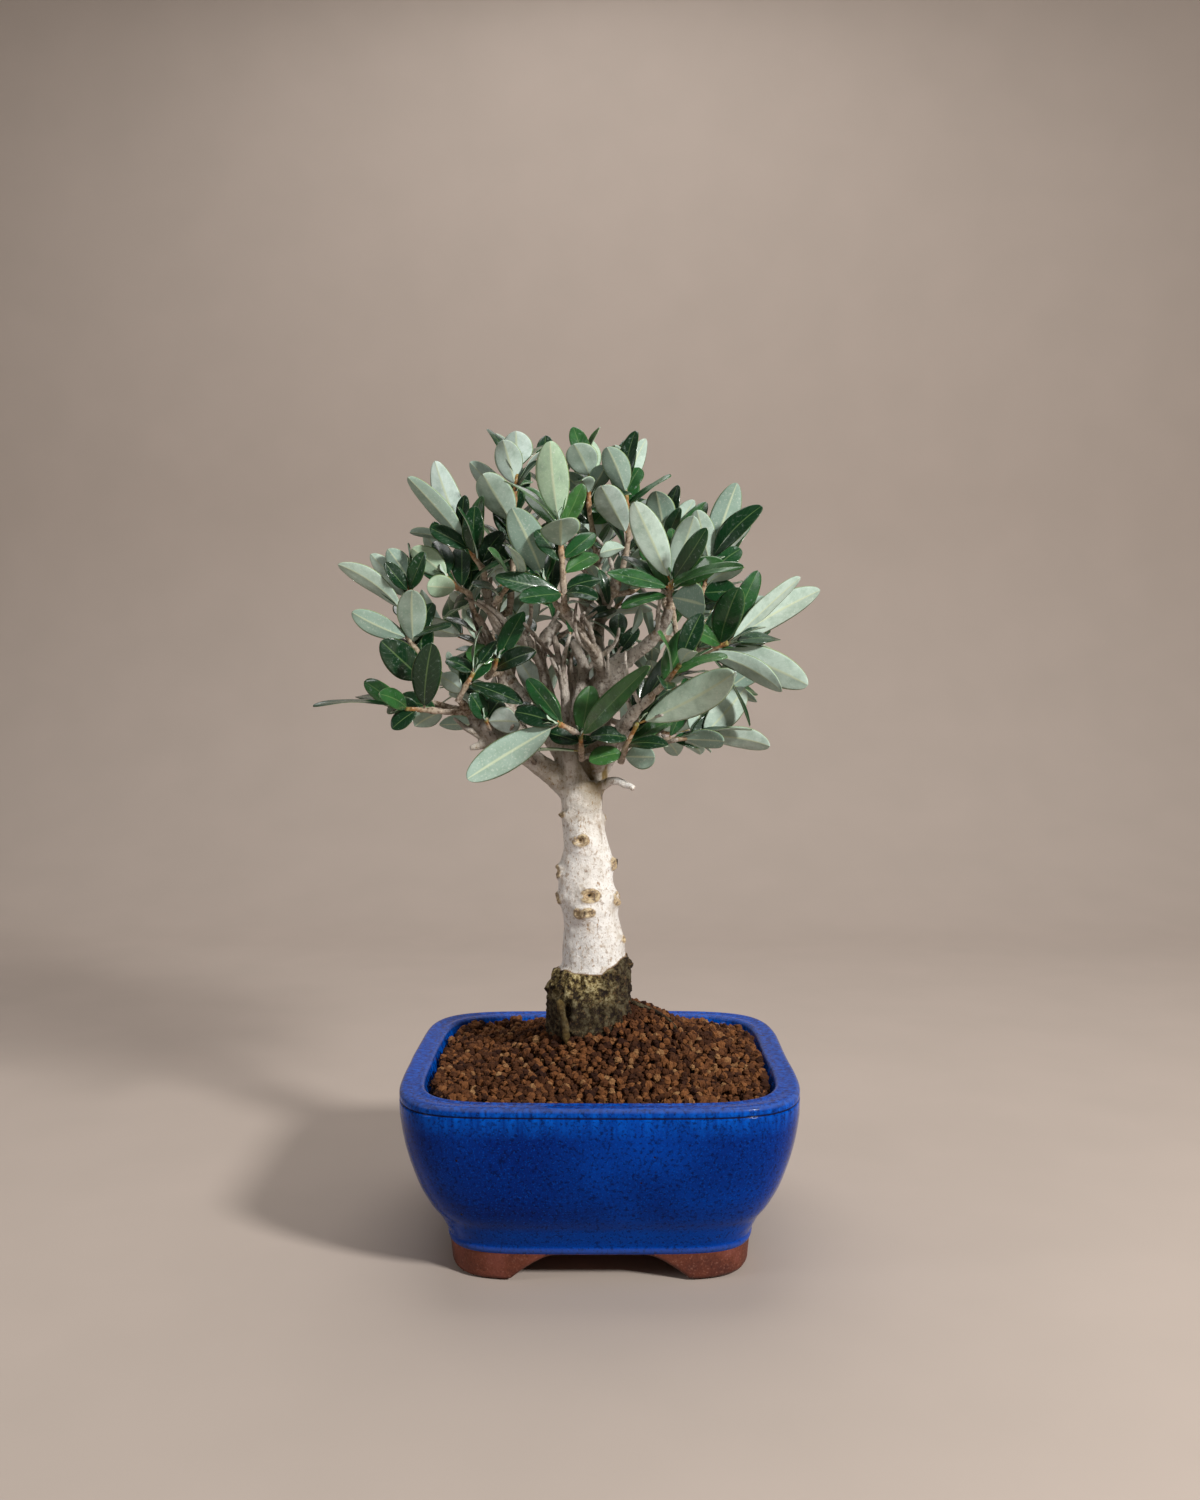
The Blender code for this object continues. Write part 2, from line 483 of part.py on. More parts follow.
def screen(name, x, parent):
    """A square mesh of crossing bars."""
    half = SCREEN_SIZE / 2
    obj = make_object(name, prism([(x - half, -half), (x + half, -half), (x + half, half), (x - half, half)],
                                  FLOOR_TOP + GAP, FLOOR_TOP + GAP + SCREEN_THICKNESS), "screen", parent)
    pitch = SCREEN_SIZE / SCREEN_HOLES
    bar = pitch * SCREEN_BAR_SHARE
    low, high = FLOOR_TOP - CUT_PAST, FLOOR_TOP + GAP + SCREEN_THICKNESS + CUT_PAST
    cutters = []
    for i in range(SCREEN_HOLES):
        for j in range(SCREEN_HOLES):
            x0 = x - half + i * pitch + bar / 2
            y0 = -half + j * pitch + bar / 2
            hole = box(x0, x0 + pitch - bar, y0, y0 + pitch - bar, low, high)
            cutters.append(make_object("mesh_hole", hole))
    join(obj, cutters, "DIFFERENCE")
    return obj


def soil_height(x, y):
    """The bed is level at the pot's wall and mounds up to the trunk."""
    away = np.hypot(x - SOIL_MOUND_MIDDLE[0], y - SOIL_MOUND_MIDDLE[1]) / SOIL_MOUND_SPREAD
    return SOIL_EDGE_HEIGHT + SOIL_MOUND_HEIGHT * np.exp(-away ** 2 / 2)


def soil(parent):
    """A bed with a granular relief on top, a hole for the trunk and a recess over each screen."""
    rng = np.random.default_rng(SEED)
    heights = [FLOOR_TOP + GAP] + [z for z, _ in POT_INSIDE[2:0:-1]] + [SOIL_EDGE_HEIGHT]
    inside = POT_INSIDE[::-1]
    halves = np.interp(heights, [z for z, _ in inside], [half for _, half in inside]) - SOIL_GAP_TO_POT
    rings = [level(rounded_square(half, SOIL_SEGMENTS), z) for z, half in zip(heights, halves)]
    outer = rings[-1]
    for k in range(1, SOIL_RINGS + 1):
        share = 1 - k / (SOIL_RINGS + 1)
        ring = outer.copy()
        ring[:, :2] *= SOIL_MIDDLE_SHARE + (1 - SOIL_MIDDLE_SHARE) * share
        relief = np.where((np.arange(SOIL_SEGMENTS) + k) % 2, *SOIL_RELIEF)
        relief = relief + rng.uniform(-SOIL_ROUGHNESS, SOIL_ROUGHNESS, SOIL_SEGMENTS)
        ring[:, 2] = soil_height(ring[:, 0], ring[:, 1]) + relief
        rings.append(ring)
    obj = make_object("soil", rings_to_solid(rings), "granules", parent)
    centre = place(*TRUNK[0][:3])
    hole = prism(circle(PLUG_RADIUS + GAP, HOLE_SIDES, centre[0], centre[1]), HOLE_BOTTOM, HOLE_TOP)
    cutters = [make_object("trunk_hole", hole)]
    half = SCREEN_SIZE / 2 + GAP
    for x in (-DRAIN_OFFSET, DRAIN_OFFSET):
        top = FLOOR_TOP + GAP + SCREEN_THICKNESS + GAP
        cutters.append(make_object("recess", box(x - half, x + half, -half, half, FLOOR_TOP - CUT_PAST, top)))
    join(obj, cutters, "DIFFERENCE")
    return obj


def tube(points, radii, sides, start=None, stop=None):
    """A closed tube along the points, with each ring square to the bend there."""
    points = np.asarray(points, float)
    steps = np.diff(points, axis=0)
    steps = steps / np.linalg.norm(steps, axis=1)[:, None]
    heads = np.vstack([steps[:1], steps[:-1] + steps[1:], steps[-1:]])
    if start is not None:
        heads[0] = start
    if stop is not None:
        heads[-1] = stop
    heads = heads / np.linalg.norm(heads, axis=1)[:, None]
    side = unit(np.cross(heads[0], (.31, .86, .17)))
    rings = []
    angle = np.linspace(0, 2 * math.pi, sides, endpoint=False)
    for point, head, radius in zip(points, heads, radii):
        side = unit(side - head * np.dot(side, head))
        up = np.cross(head, side)
        rings.append(point + radius * (np.outer(np.cos(angle), side) + np.outer(np.sin(angle), up)))
    return rings_to_solid(rings)


def along(points, share):
    """The point and the direction at a share of a line's length."""
    steps = np.diff(points, axis=0)
    lengths = np.linalg.norm(steps, axis=1)
    run = np.concatenate([[0], np.cumsum(lengths)])
    at = share * run[-1]
    k = min(int(np.searchsorted(run, at, side="right")) - 1, len(steps) - 1)
    k = max(k, 0)
    return points[k] + steps[k] * (at - run[k]) / lengths[k], steps[k] / lengths[k]


def nearest_on_limbs(point):
    """The nearest point of the limbs' middle lines, and the limb's radius there."""
    best = None
    for rows in LIMBS.values():
        line, radii = places(rows), [row[3] for row in rows]
        for k in range(len(line) - 1):
            step = line[k + 1] - line[k]
            t = float(np.clip(np.dot(point - line[k], step) / np.dot(step, step), 0, 1))
            near = line[k] + step * t
            far = float(np.linalg.norm(point - near))
            if best is None or far < best[0]:
                best = (far, near, radii[k] + (radii[k + 1] - radii[k]) * t)
    return best[1], best[2]


def spur_and_stem(stem):
    """Splits a shoot at its first place: a spur from the limb, and the stem 0.3 mm past the spur's end."""
    start, limb_radius = nearest_on_limbs(stem[0])
    clear = limb_radius + SPUR_SHORTEST
    if np.linalg.norm(stem[0] - start) < clear:
        stem = stem.copy()
        stem[0] = start + unit(stem[1] - start) * clear
    lead = unit(stem[0] - start)
    cut = unit(lead + unit(stem[1] - stem[0]))
    root_radius = min(limb_radius * SPUR_LIMB_SHARE, STEM_BASE_RADIUS * SPUR_THICKER)
    spur = tube([start, stem[0]], [root_radius, STEM_BASE_RADIUS], STEM_SIDES, stop=cut)
    line = stem.copy()
    line[0] = stem[0] + cut * GAP
    radii = np.linspace(STEM_BASE_RADIUS, STEM_TIP_RADIUS, len(line))
    return spur, line, tube(line, radii, STEM_SIDES, start=cut)


def blade(base, tip, normal, width, grow=0.0, start=0.0):
    """A leaf: an arched blade with a keel under its middle, pointed at both ends.

    At a share t of its length it lies on base + t * (tip - base), raised along the normal by the arch
    4 t (1 - t), and its edges are raised by the fold. grow thickens it all round, for the clearance test.
    """
    axis = tip - base
    length = np.linalg.norm(axis)
    axis = axis / length
    normal = unit(normal - axis * np.dot(normal, axis))
    side = np.cross(axis, normal)
    arch = LEAF_ARCH * length
    half_thick = LEAF_THICKNESS / 2 + grow
    points = [base + axis * (length * start - grow)]
    for t, share in LEAF_STATIONS:
        t = max(t, start)
        middle = base + axis * length * t + normal * arch * 4 * t * (1 - t)
        half = width / 2 * share + grow
        lift = normal * LEAF_FOLD * half
        points += [middle - side * half + lift, middle + side * half + lift, middle - normal * half_thick]
    points.append(tip + axis * grow)
    last = len(points) - 1
    faces = []
    for i in range(3):
        j = (i + 1) % 3
        faces.append((0, 1 + i, 1 + j))
        for k in range(len(LEAF_STATIONS) - 1):
            a, b = 1 + 3 * k, 4 + 3 * k
            faces.append((a + i, b + i, b + j))
            faces.append((a + i, b + j, a + j))
        faces.append((last, last - 3 + j, last - 3 + i))
    return np.array(points), faces


def tree(shape):
    points, faces = shape
    return BVHTree.FromPolygons([tuple(p) for p in points], [tuple(f) for f in faces])


def bounds(points):
    points = np.asarray(points)
    return points.min(axis=0), points.max(axis=0)


def seen_inside_outline(point):
    """Whether the front view shows the point inside the crown's outline: an even-odd count of crossed sides."""
    line = point - np.array(VIEW_POINT)
    c, s = math.cos(VIEW_TILT), math.sin(VIEW_TILT)
    ahead, rise = line[1] * c - line[2] * s, line[2] * c + line[1] * s
    x = VIEW_MIDDLE[0] + VIEW_SCALE * line[0] / ahead
    y = VIEW_MIDDLE[1] - VIEW_SCALE * rise / ahead
    inside = False
    for (x0, y0), (x1, y1) in zip(CROWN_OUTLINE, CROWN_OUTLINE[1:] + CROWN_OUTLINE[:1]):
        if (y0 > y) != (y1 > y) and x < x0 + (x1 - x0) * (y - y0) / (y1 - y0):
            inside = not inside
    return inside


class Crown:
    """Keeps what is already placed, and says whether a new leaf would touch it."""

    def __init__(self):
        self.solids = []

    def add(self, shape, owner, outer=None):
        """outer is the part of a leaf that the leaves of its own shoot also stay clear of."""
        self.solids.append((owner, tree(shape), bounds(shape[0]), tree(outer) if outer else None))

    def free(self, whole, outer, owner):
        low, high = bounds(whole[0])
        whole_tree, outer_tree = tree(whole), tree(outer)
        for other, solid, (a, b), solid_outer in self.solids:
            if np.any(low > b) or np.any(high < a):
                continue
            if other != owner:
                if whole_tree.overlap(solid):
                    return False
            elif solid_outer is not None and outer_tree.overlap(solid_outer):
                return False
        return True

    def try_leaf(self, owner, base, tip, normal, width):
        whole = blade(base, tip, normal, width, grow=LEAF_CLEARANCE)
        outer = blade(base, tip, normal, width, grow=MEETING_GROWTH, start=LEAF_ROOT)
        if not self.free(whole, outer, owner):
            return None
        leaf = blade(base, tip, normal, width)
        self.add(leaf, owner, blade(base, tip, normal, width, start=LEAF_ROOT))
        return leaf


def seen_normal(base, tip, turn):
    """The upper face's direction: turned round the leaf from square to the view, to the side that is up."""
    axis = unit(tip - base)
    look = np.array(VIEW_POINT) - (base + tip) / 2
    front = unit(look - axis * np.dot(look, axis))
    side = np.cross(axis, front)
    c, s = math.cos(math.radians(turn)), math.sin(math.radians(turn))
    one, other = front * c + side * s, front * c - side * s
    return one if one[2] >= other[2] else other


def place_seen_leaves(crown, name, stem, rows):
    """The leaves that the front view shows. One that meets a neighbour swings along the line of sight."""
    leaves = []
    for share, across, down, depth, width, turn in rows:
        base = along(stem, min(max(share, .03), .985))[0]
        for swing, more_turn in SWINGS_DEEP:
            tip = place(across, down, depth + swing)
            leaf = crown.try_leaf(name, base, tip, seen_normal(base, tip, turn + more_turn), width)
            if leaf is not None:
                leaves.append(leaf)
                break
        else:
            print("no room for", name, (share, across, down, depth))
    return leaves


def place_ruled_leaves(crown, name, stem, rng, only_back):
    """Opposite pairs up the stem, each a quarter turn on from the last."""
    leaves = []
    length = float(np.linalg.norm(np.diff(stem, axis=0), axis=1).sum())
    pairs = max(2, int(length / PAIR_SPACING))
    first = rng.uniform(0, math.pi)
    for k in range(pairs + 1):
        share = min(FIRST_PAIR + (1 - FIRST_PAIR) * k / pairs, .98)
        base, head = along(stem, share)
        side = unit(np.cross(head, (.2, .9, .1)))
        up = np.cross(head, side)
        size = rng.uniform(*LEAF_SIZES) * LEAF_LONGEST * (1 if k < pairs else TIP_LEAF_SIZE)
        splay = SPLAY_LOW + SPLAY_CHANGE * share + rng.uniform(-SPLAY_VARIES, SPLAY_VARIES)
        for half_turn in (0, 1):
            span = max(size * rng.uniform(*LEAF_LENGTHS), LEAF_SHORTEST)
            width = span * LEAF_SLENDERNESS * rng.uniform(*LEAF_WIDTHS)
            for round_by, splay_by in SWINGS_ROUND:
                angle = first + math.pi / 2 * k + math.pi * half_turn + math.radians(round_by)
                tilt = math.radians(splay + splay_by)
                out = side * math.cos(angle) + up * math.sin(angle)
                axis = unit(head * math.cos(tilt) + out * math.sin(tilt) + np.array([0, 0, LEAF_LIFT]))
                if only_back and axis[1] < BACKWARDS:
                    continue
                tip = base + axis * span
                if abs(tip[1]) > CROWN_DEPTH or not seen_inside_outline(tip):
                    continue
                leaf = crown.try_leaf(name, base, tip, head + np.array([0, 0, FACE_LIFT]), width)
                if leaf is not None:
                    leaves.append(leaf)
                    break
    return leaves


def trunk_shapes():
    """The trunk with its root plug, its limbs and stubs, as closed tubes that overlap."""
    foot = place(*TRUNK[0][:3])
    plug = tube([(foot[0], foot[1], PLUG_BOTTOM), foot], [PLUG_RADIUS * PLUG_TAPER, PLUG_RADIUS], TRUNK_SIDES,
                start=(0, 0, 1), stop=(0, 0, 1))
    line = places(TRUNK)
    line[0, 2] -= TRUNK_SUNK
    shapes = [plug, tube(line, [row[3] for row in TRUNK], TRUNK_SIDES, start=(0, 0, 1))]
    for rows in list(LIMBS.values()) + list(STUBS.values()):
        shapes.append(tube(places(rows), [row[3] for row in rows], LIMB_SIDES))
    return shapes


def fuse(name, shapes, colour, parent):
    """One object from closed shapes that overlap."""
    obj = make_object(name, shapes[0], colour, parent)
    join(obj, [make_object("piece", shape) for shape in shapes[1:]])
    return obj


def plant(parent):
    """The trunk with every spur, and one node for each shoot."""
    rng = np.random.default_rng(SEED)
    crown = Crown()
    wood = trunk_shapes()
    shoots = {}
    for name, (rows, leaf_rows) in SHOOTS.items():
        shoots["shoot_" + name] = (places(rows), leaf_rows)
    for number, rows in enumerate(BACK_SHOOTS, 1):
        shoots[f"shoot_back_{number:02d}"] = (places(rows), None)
    stems = {}
    for name, (stem, _) in shoots.items():
        spur, line, stem_shape = spur_and_stem(stem)
        wood.append(spur)
        stems[name] = (line, stem_shape)
        crown.add(stem_shape, name)
    for shape in wood:
        crown.add(shape, "trunk")
    leaves = {name: [] for name in shoots}
    for name, (_, leaf_rows) in shoots.items():
        if leaf_rows:
            leaves[name] += place_seen_leaves(crown, name, stems[name][0], leaf_rows)
    for name, (_, leaf_rows) in shoots.items():
        leaves[name] += place_ruled_leaves(crown, name, stems[name][0], rng, only_back=bool(leaf_rows))
    fuse("trunk", wood, "bark", parent)
    for name in shoots:
        fuse(name, [stems[name][1]] + leaves[name], "leaf", parent)
    print("leaves", sum(map(len, leaves.values())))


def main():
    clear_scene()
    bonsai = bpy.data.objects.new("bonsai", None)
    bpy.context.scene.collection.objects.link(bonsai)
    pot(bonsai)
    screen("drain_screen_left", -DRAIN_OFFSET, bonsai)
    screen("drain_screen_right", DRAIN_OFFSET, bonsai)
    soil(bonsai)
    plant(bonsai)
    bonsai.location.x = POT_ACROSS * MM


main()
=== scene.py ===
import functools
import math

import bpy
import numpy as np
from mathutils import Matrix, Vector
from mathutils.bvhtree import BVHTree


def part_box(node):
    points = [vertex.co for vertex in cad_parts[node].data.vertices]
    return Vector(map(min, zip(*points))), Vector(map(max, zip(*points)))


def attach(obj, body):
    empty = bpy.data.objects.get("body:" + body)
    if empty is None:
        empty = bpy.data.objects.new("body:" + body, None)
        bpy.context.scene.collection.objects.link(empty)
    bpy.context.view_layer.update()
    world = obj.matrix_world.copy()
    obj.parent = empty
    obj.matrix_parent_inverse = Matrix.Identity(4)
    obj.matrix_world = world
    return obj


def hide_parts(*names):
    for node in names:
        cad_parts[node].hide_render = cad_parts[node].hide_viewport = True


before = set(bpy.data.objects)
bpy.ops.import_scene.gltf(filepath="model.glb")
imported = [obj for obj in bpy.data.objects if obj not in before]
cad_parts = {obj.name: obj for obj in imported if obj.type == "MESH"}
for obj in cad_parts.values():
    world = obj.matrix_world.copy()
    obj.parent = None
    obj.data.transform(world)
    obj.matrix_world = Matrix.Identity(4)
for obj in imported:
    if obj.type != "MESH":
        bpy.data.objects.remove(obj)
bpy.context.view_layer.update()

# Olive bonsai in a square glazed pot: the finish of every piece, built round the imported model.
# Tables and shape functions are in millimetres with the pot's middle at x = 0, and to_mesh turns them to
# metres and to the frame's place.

bl_info = {
    "name": "Olive Bonsai",
    "version": (1, 0, 0),
    "blender": (4, 5, 0),
    "location": "3D View > Sidebar > Bonsai",
    "description": "Builds an olive bonsai in a glazed pot round its packed frame",
    "category": "Object",
}

MM = 0.001
POT_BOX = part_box("pot")
POT_MIDDLE_X = (POT_BOX[0][0] + POT_BOX[1][0]) / 2 / MM
BODY = "root"


# Pot: the sizes of the model, then those of the fine surface
POT_HALF = 75.0
POT_HEIGHT = 69.0
POT_SQUARENESS = 5.5
POT_FINE_SEGMENTS = 200
FLOOR_UNDER = 8.0
FLOOR_TOP = 14.0
FOOT_HALF = 57.2
FOOT_WALL = 11.0
ARCH_TOP_HALF = 17.0
ARCH_FOOT_HALF = 33.0
ARCH_HEIGHT = 9.5
DRAIN_RADIUS = 8.0
DRAIN_OFFSET = 27.0
GLAZE_LINE = 10.2  # the glaze ends at this height, in a thick rounded edge
GLAZE_LIP = .55
GLAZE_RUNS = (57.5, 65.5)  # lighter streaks of glaze run down from the rim, fading between these heights
GLAZE_BELT = (28.0, 19.0)  # low on the wall the glaze turns lighter, from the first height down to the second
GLAZED_INSIDE = 55.0  # the inside is glazed down to this height
RIM_ROUND = 1.6
GROOVE_HEIGHT = 65.6  # a shallow groove under the rim, which the glaze's colour paints dark as shade
GROOVE_WIDTH = .35
GROOVE_DEPTH = .45
POT_WOBBLE = .35  # how far the hand-pressed wall strays from its outline

# Soil
GAP = .3
SOIL_GAP_TO_POT = .4
BED_DROP = 2.2  # how far the bed lies under the mound's height
BED_SEGMENTS = 96
BED_ROUGHNESS = .7
GRANULE_STEP = 2.4
GRANULE_RADIUS = .62  # share of the spacing
GRANULE_LAYERS = ((.9, 1.0), (-.9, .62))  # how far each layer lies under the mound, and how full it is
GRANULE_GRID = 140.0  # half the side of the grid on which the granules start
GRANULES_FROM_WALL = 2.0
GRANULES_IN_PLUG = 1.5  # how far granules may reach into the trunk's plug

# Wood
CORK_TOP = 103.4  # height of the border between cork and bark, left and front
CORK_RISE = 5.4
CROTCH_HEIGHT = 179.0
WOOD_VOXEL = .75
WHITE_LIMBS = 30.0  # over this height the white bark of the limbs turns browner
BRANCHLETS = 64
BRANCHLET_REACH = (12, 27)
INNER_LEAVES = 7
THICK_LIMB = 3.8  # limbs of a larger half width at their start are older wood
STUB_SHARE = .62  # of the model's radius: the fine stubs are slimmer
INNER_LEAF_SPAN = (11, 19)
INNER_LEAF_WIDTHS = (.32, .44)  # as shares of the length
BRANCHLET_POINTS = 26
BRANCHLET_RADII = ((.9, 1.35), (.45, .7))  # at the limb and at the tip
SKIN_ROUNDS = 3  # how often the fused wood is smoothed
TRUNK_FOOT = 58.0  # height at which the fused trunk starts inside the plug
# Noise that shapes the wood: rows of the weight in mm, how much denser the pattern is upwards, its size in mm
# and its seed
BARK_RELIEF = [(.75, .6, 9, 33), (.3, 1, 2.6, 34)]
LIMB_RELIEF = [(.34, .6, 4.5, 35), (.2, 1, 1.8, 36)]
CORK_RELIEF = [(1.1, .8, 2.4, 39), (.7, 1, 1.3, 32)]
CORK_BORDER = [(.9, .3, 3.2, 21), (1.1, .3, 9, 22)]
LICHEN_HEIGHTS = (157.0, 180.0)  # ochre lichen grows in from the first height to the second,
LICHEN_LEFT = (1.0, 10.0)  # thinner towards the left between these places from the middle
LICHEN_RIGHT = (16.5, 14.5)  # and only left of these
WET_CORK_HEIGHTS = (100.0, 91.0)  # the cork is dark and wet below
WET_CORK_RIGHT = (7.0, 20.0)  # and on its right side
# Knots: the radii of ring, hole and swelling and the ring's width as shares of the size, and how high the ring
# and the swelling stand as shares of the rise
KNOT_RING_RADIUS, KNOT_RING_WIDTH, KNOT_RING_RISE = .66, .26, .6
KNOT_HOLE_RADIUS = .32
KNOT_SWELLING_RADIUS, KNOT_SWELLING_RISE = 1.9, 1.05
KNOT_FLATTER = 1.25  # a knot is this much wider than it is high
KNOT_DEPTH = 5.0  # and ends this far inside or outside the trunk's skin
# Knots of the trunk: degrees round from the front, height in the view, size, rise and depth of the hole in mm
KNOTS = [
    (-9, 838, 3.4, 1.3, 1.6), (4, 892, 4.0, 1.7, 2.0), (-18, 909, 2.9, 1.3, 1.3), (-2, 909, 2.9, 1.3, 1.3),
    (-84, 871, 4.2, 2.0, 1.5), (-80, 897, 3.6, 1.7, 1.4), (78, 864, 3.8, 1.8, .8), (72, 898, 4.4, 2.1, 1.8),
    (70, 938, 2.4, .9, .8), (150, 850, 3.8, 1.5, 1.4), (-150, 905, 4.0, 1.6, 1.6), (176, 935, 3.2, 1.3, 1.2),
    (128, 820, 2.8, 1.2, 1.0), (-60, 812, 2.6, 1.2, .8), (30, 800, 2.6, 1.1, .7),
]
# The root that runs down the front of the cork: (across, down, depth, half width in mm)
ROOT_RIDGE = [(559, 1001, -13.6, .8), (561, 1009, -15.2, 1.1), (564, 1024, -16.4, 1.1),
              (568, 1046, -17.0, .7)]
# The thin root that arches over the soil, right of the trunk
THIN_ROOT = [(632, 1002, 0, .9), (645, 1007, 0, .75), (657, 1012, 0, .65), (668, 1019, -2, .6),
             (676, 1028, -6, .5)]

# Leaves
LEAF_STEPS = np.array([0, .04, .08, .12, .17, .23, .3, .38, .46, .54, .62, .7, .77, .83, .885, .93, .965,
                       .988, 1])
SECTION_ACROSS = np.array([-1, -.82, -.5, -.13, 0, .13, .5, .82, 1, .86, .5, .1, 0, -.1, -.5, -.86])
SECTION_SIDE = np.array([0, 1, 1, 1, 1, 1, 1, 1, 0, -1, -1, -1, -1, -1, -1, -1])
UPPER_FACES = 8  # the first faces of a section are the upper side's
LEAF_FINE_THICKNESS = .42
LEAF_FULLNESS = .5
STALK_SHARE = .085
STALK_RADIUS = .42
LEAF_TIP_HALF = .12
LEAF_ARCHES = (.5, 1.5)  # shares of the model's arch
LEAF_BEND = .035  # most sideways bend, as a share of the length
LEAF_TWIST = .38  # most twist in radians
LEAF_FOLDS = (.04, .26)  # how far the edges rise, as a share of the half width
EDGE_WAVE = .32
RIB_WIDTH = .1  # share of the half width
RIB_ABOVE, RIB_BELOW = -.10, -.34  # the midrib is sunk in the upper face and stands out of the under face

# Seeds of the random draws of each kind of piece; a shoot's number is added to the leaves' one
GRANULE_SEED = 5
TWIG_SEED = 6
INNER_LEAF_SEED = 7
LEAF_SEED = 1000

# View and light
SENSOR = 36.0  # mm along the picture's long side
PICTURE_HEIGHT = 1500.0
FLOOR_FRONT = 2400.0
FLOOR_BACK = 620.0  # behind the pot the paper begins to curve up
PAPER_CURVE = 420.0
PAPER_HALF = 2400.0
PAPER_UNDER = .5  # the feet stand this high over the paper
PAPER_TOP = 2200.0
BACKDROP_COLOUR = "#d3cac3"
BACKDROP_STRENGTH = .16
LIT_HEIGHT = .17  # in metres, as are the lights' places and sizes: the height that they point at
LIGHTS = {
    "key": ((.78, -.82, .78), .2, "#fffefb"),
    "fill": ((-.95, -.45, .55), .35, "#ffffff"),
    "top": ((0, .45, 1.25), 1.1, "#ffffff"),
}

# Half width of the outside at each height, from the foot to the rim
POT_PROFILE = [
    (0.0, 56.6), (10.0, 57.6), (13.5, 58.2), (17.0, 59.8), (20.6, 61.6), (24.0, 64.0),
    (27.5, 66.0), (34.5, 69.2), (46.5, 72.8), (58.5, 74.8), (67.8, 75.0),
]

# Half width of the inside at each height, from the rim to the floor
POT_INSIDE = [(67.8, 66.0), (36.0, 58.0), (22.0, 51.0), (14.0, 45.0)]

SOIL_EDGE_HEIGHT = 65.8
SOIL_MOUND_HEIGHT = 22.0
SOIL_MOUND_SPREAD = 25.5
SOIL_MOUND_MIDDLE = (7.0, 4.0)
PLUG_RADIUS = 16.4
PLUG_BOTTOM = 44.0
PLUG_TAPER = .97
TRUNK_SUNK = 3.0  # how far the trunk's lowest ring sinks into the plug

# Front view in which the places of limbs, shoots and leaves are stated: where the eye is, how far it looks
# down, and how many steps of the view grid go to one unit of depth. A place is (across, down, depth): steps
# of the view grid from its top left corner, and the millimetres behind the plane through the trunk.
VIEW_POINT = (0.0, -566.0, 219.0)
VIEW_TILT = 0.049
VIEW_SCALE = 1423.0
VIEW_MIDDLE = (600.0, 750.0)

# Trunk: (across, down, depth, half width in mm)
TRUNK = [
    (590, 1034, 0, 16.4), (590, 1018, 0, 16.4), (590, 1000, 0, 16.2), (592, 983, 0, 14.7),
    (595, 966, 0, 13.0), (593, 940, 0, 12.1), (590, 915, 0, 10.7), (588, 895, 0, 10.0),
    (586, 868, 0, 9.3), (585, 842, 0, 8.9),
    (583, 815, 0, 8.2), (582, 797, 0, 8.4), (581, 782, 0, 8.0),
]

# Limbs, each from inside the trunk or another limb: (across, down, depth, half width in mm)
LIMBS = {
    "low_left": [(580, 800, 0, 5.4), (557, 778, -2, 4.6), (535, 761, -4, 4.2), (514, 748, -7, 4.0),
                 (494, 738, -9, 4.0), (478, 722, -11, 3.4), (472, 712, -12, 2.6)],
    "left_inner": [(576, 790, 0, 5.0), (562, 752, 1, 3.6), (554, 715, 2, 2.8), (546, 682, 2, 2.3),
                   (541, 658, 2, 2.3), (546, 638, 1, 3.0), (560, 622, 0, 2.1)],
    "middle": [(580, 788, -3, 4.8), (570, 755, -4, 3.0), (566, 722, -5, 2.3), (565, 694, -5, 1.9),
               (560, 665, -5, 1.5), (554, 636, -5, 1.2)],
    "middle_right": [(585, 788, 3, 5.0), (579, 752, 4, 3.6), (575, 716, 4, 3.0), (580, 690, 4, 2.7),
                     (583, 666, 3, 2.4), (572, 640, 2, 2.0)],
    "right": [(588, 792, 4, 6.2), (598, 757, 6, 5.4), (599, 722, 6, 5.0), (601, 690, 4, 5.0),
              (613, 670, 0, 4.4), (632, 656, -4, 3.0), (651, 641, -9, 2.4), (664, 624, -14, 2.2),
              (669, 608, -17, 2.0)],
    "centre_white": [(604, 674, 0, 3.0), (596, 656, -9, 2.4), (585, 637, -16, 2.3), (574, 622, -21, 2.2),
                     (565, 611, -24, 2.3)],
    "right_brown": [(603, 680, 6, 3.6), (598, 650, 10, 2.8), (600, 622, 12, 2.4), (607, 600, 12, 2.2),
                    (618, 583, 10, 2.0)],
    "left_stubs": [(542, 662, 2, 2.4), (527, 643, 1, 2.7), (511, 636, 0, 2.6), (499, 629, -2, 2.3),
                   (491, 610, -3, 2.1), (487, 590, -3, 1.9)],
    "left_outer": [(536, 760, -2, 3.2), (518, 722, 4, 2.4), (505, 690, 5, 2.0), (498, 660, 4, 1.9),
                   (486, 632, 1, 1.8), (477, 616, -2, 1.6)],
    "right_low": [(597, 745, 6, 3.6), (622, 742, 0, 2.8), (646, 744, -6, 2.2)],
    "back_left": [(579, 790, 3, 5.2), (560, 750, 16, 4.2), (535, 715, 27, 3.4), (510, 680, 35, 2.8),
                  (490, 640, 38, 2.3)],
    "back_right": [(588, 788, 5, 5.2), (612, 745, 18, 4.2), (640, 715, 29, 3.4), (668, 684, 37, 2.8),
                   (690, 650, 40, 2.3)],
    "back_middle": [(584, 786, 5, 5.0), (584, 735, 18, 4.0), (580, 680, 27, 3.2), (586, 630, 34, 2.7),
                    (590, 580, 35, 2.3)],
    "front_right": [(596, 764, 0, 3.8), (612, 742, -14, 2.8), (632, 715, -26, 2.2), (652, 696, -34, 1.8)],
}
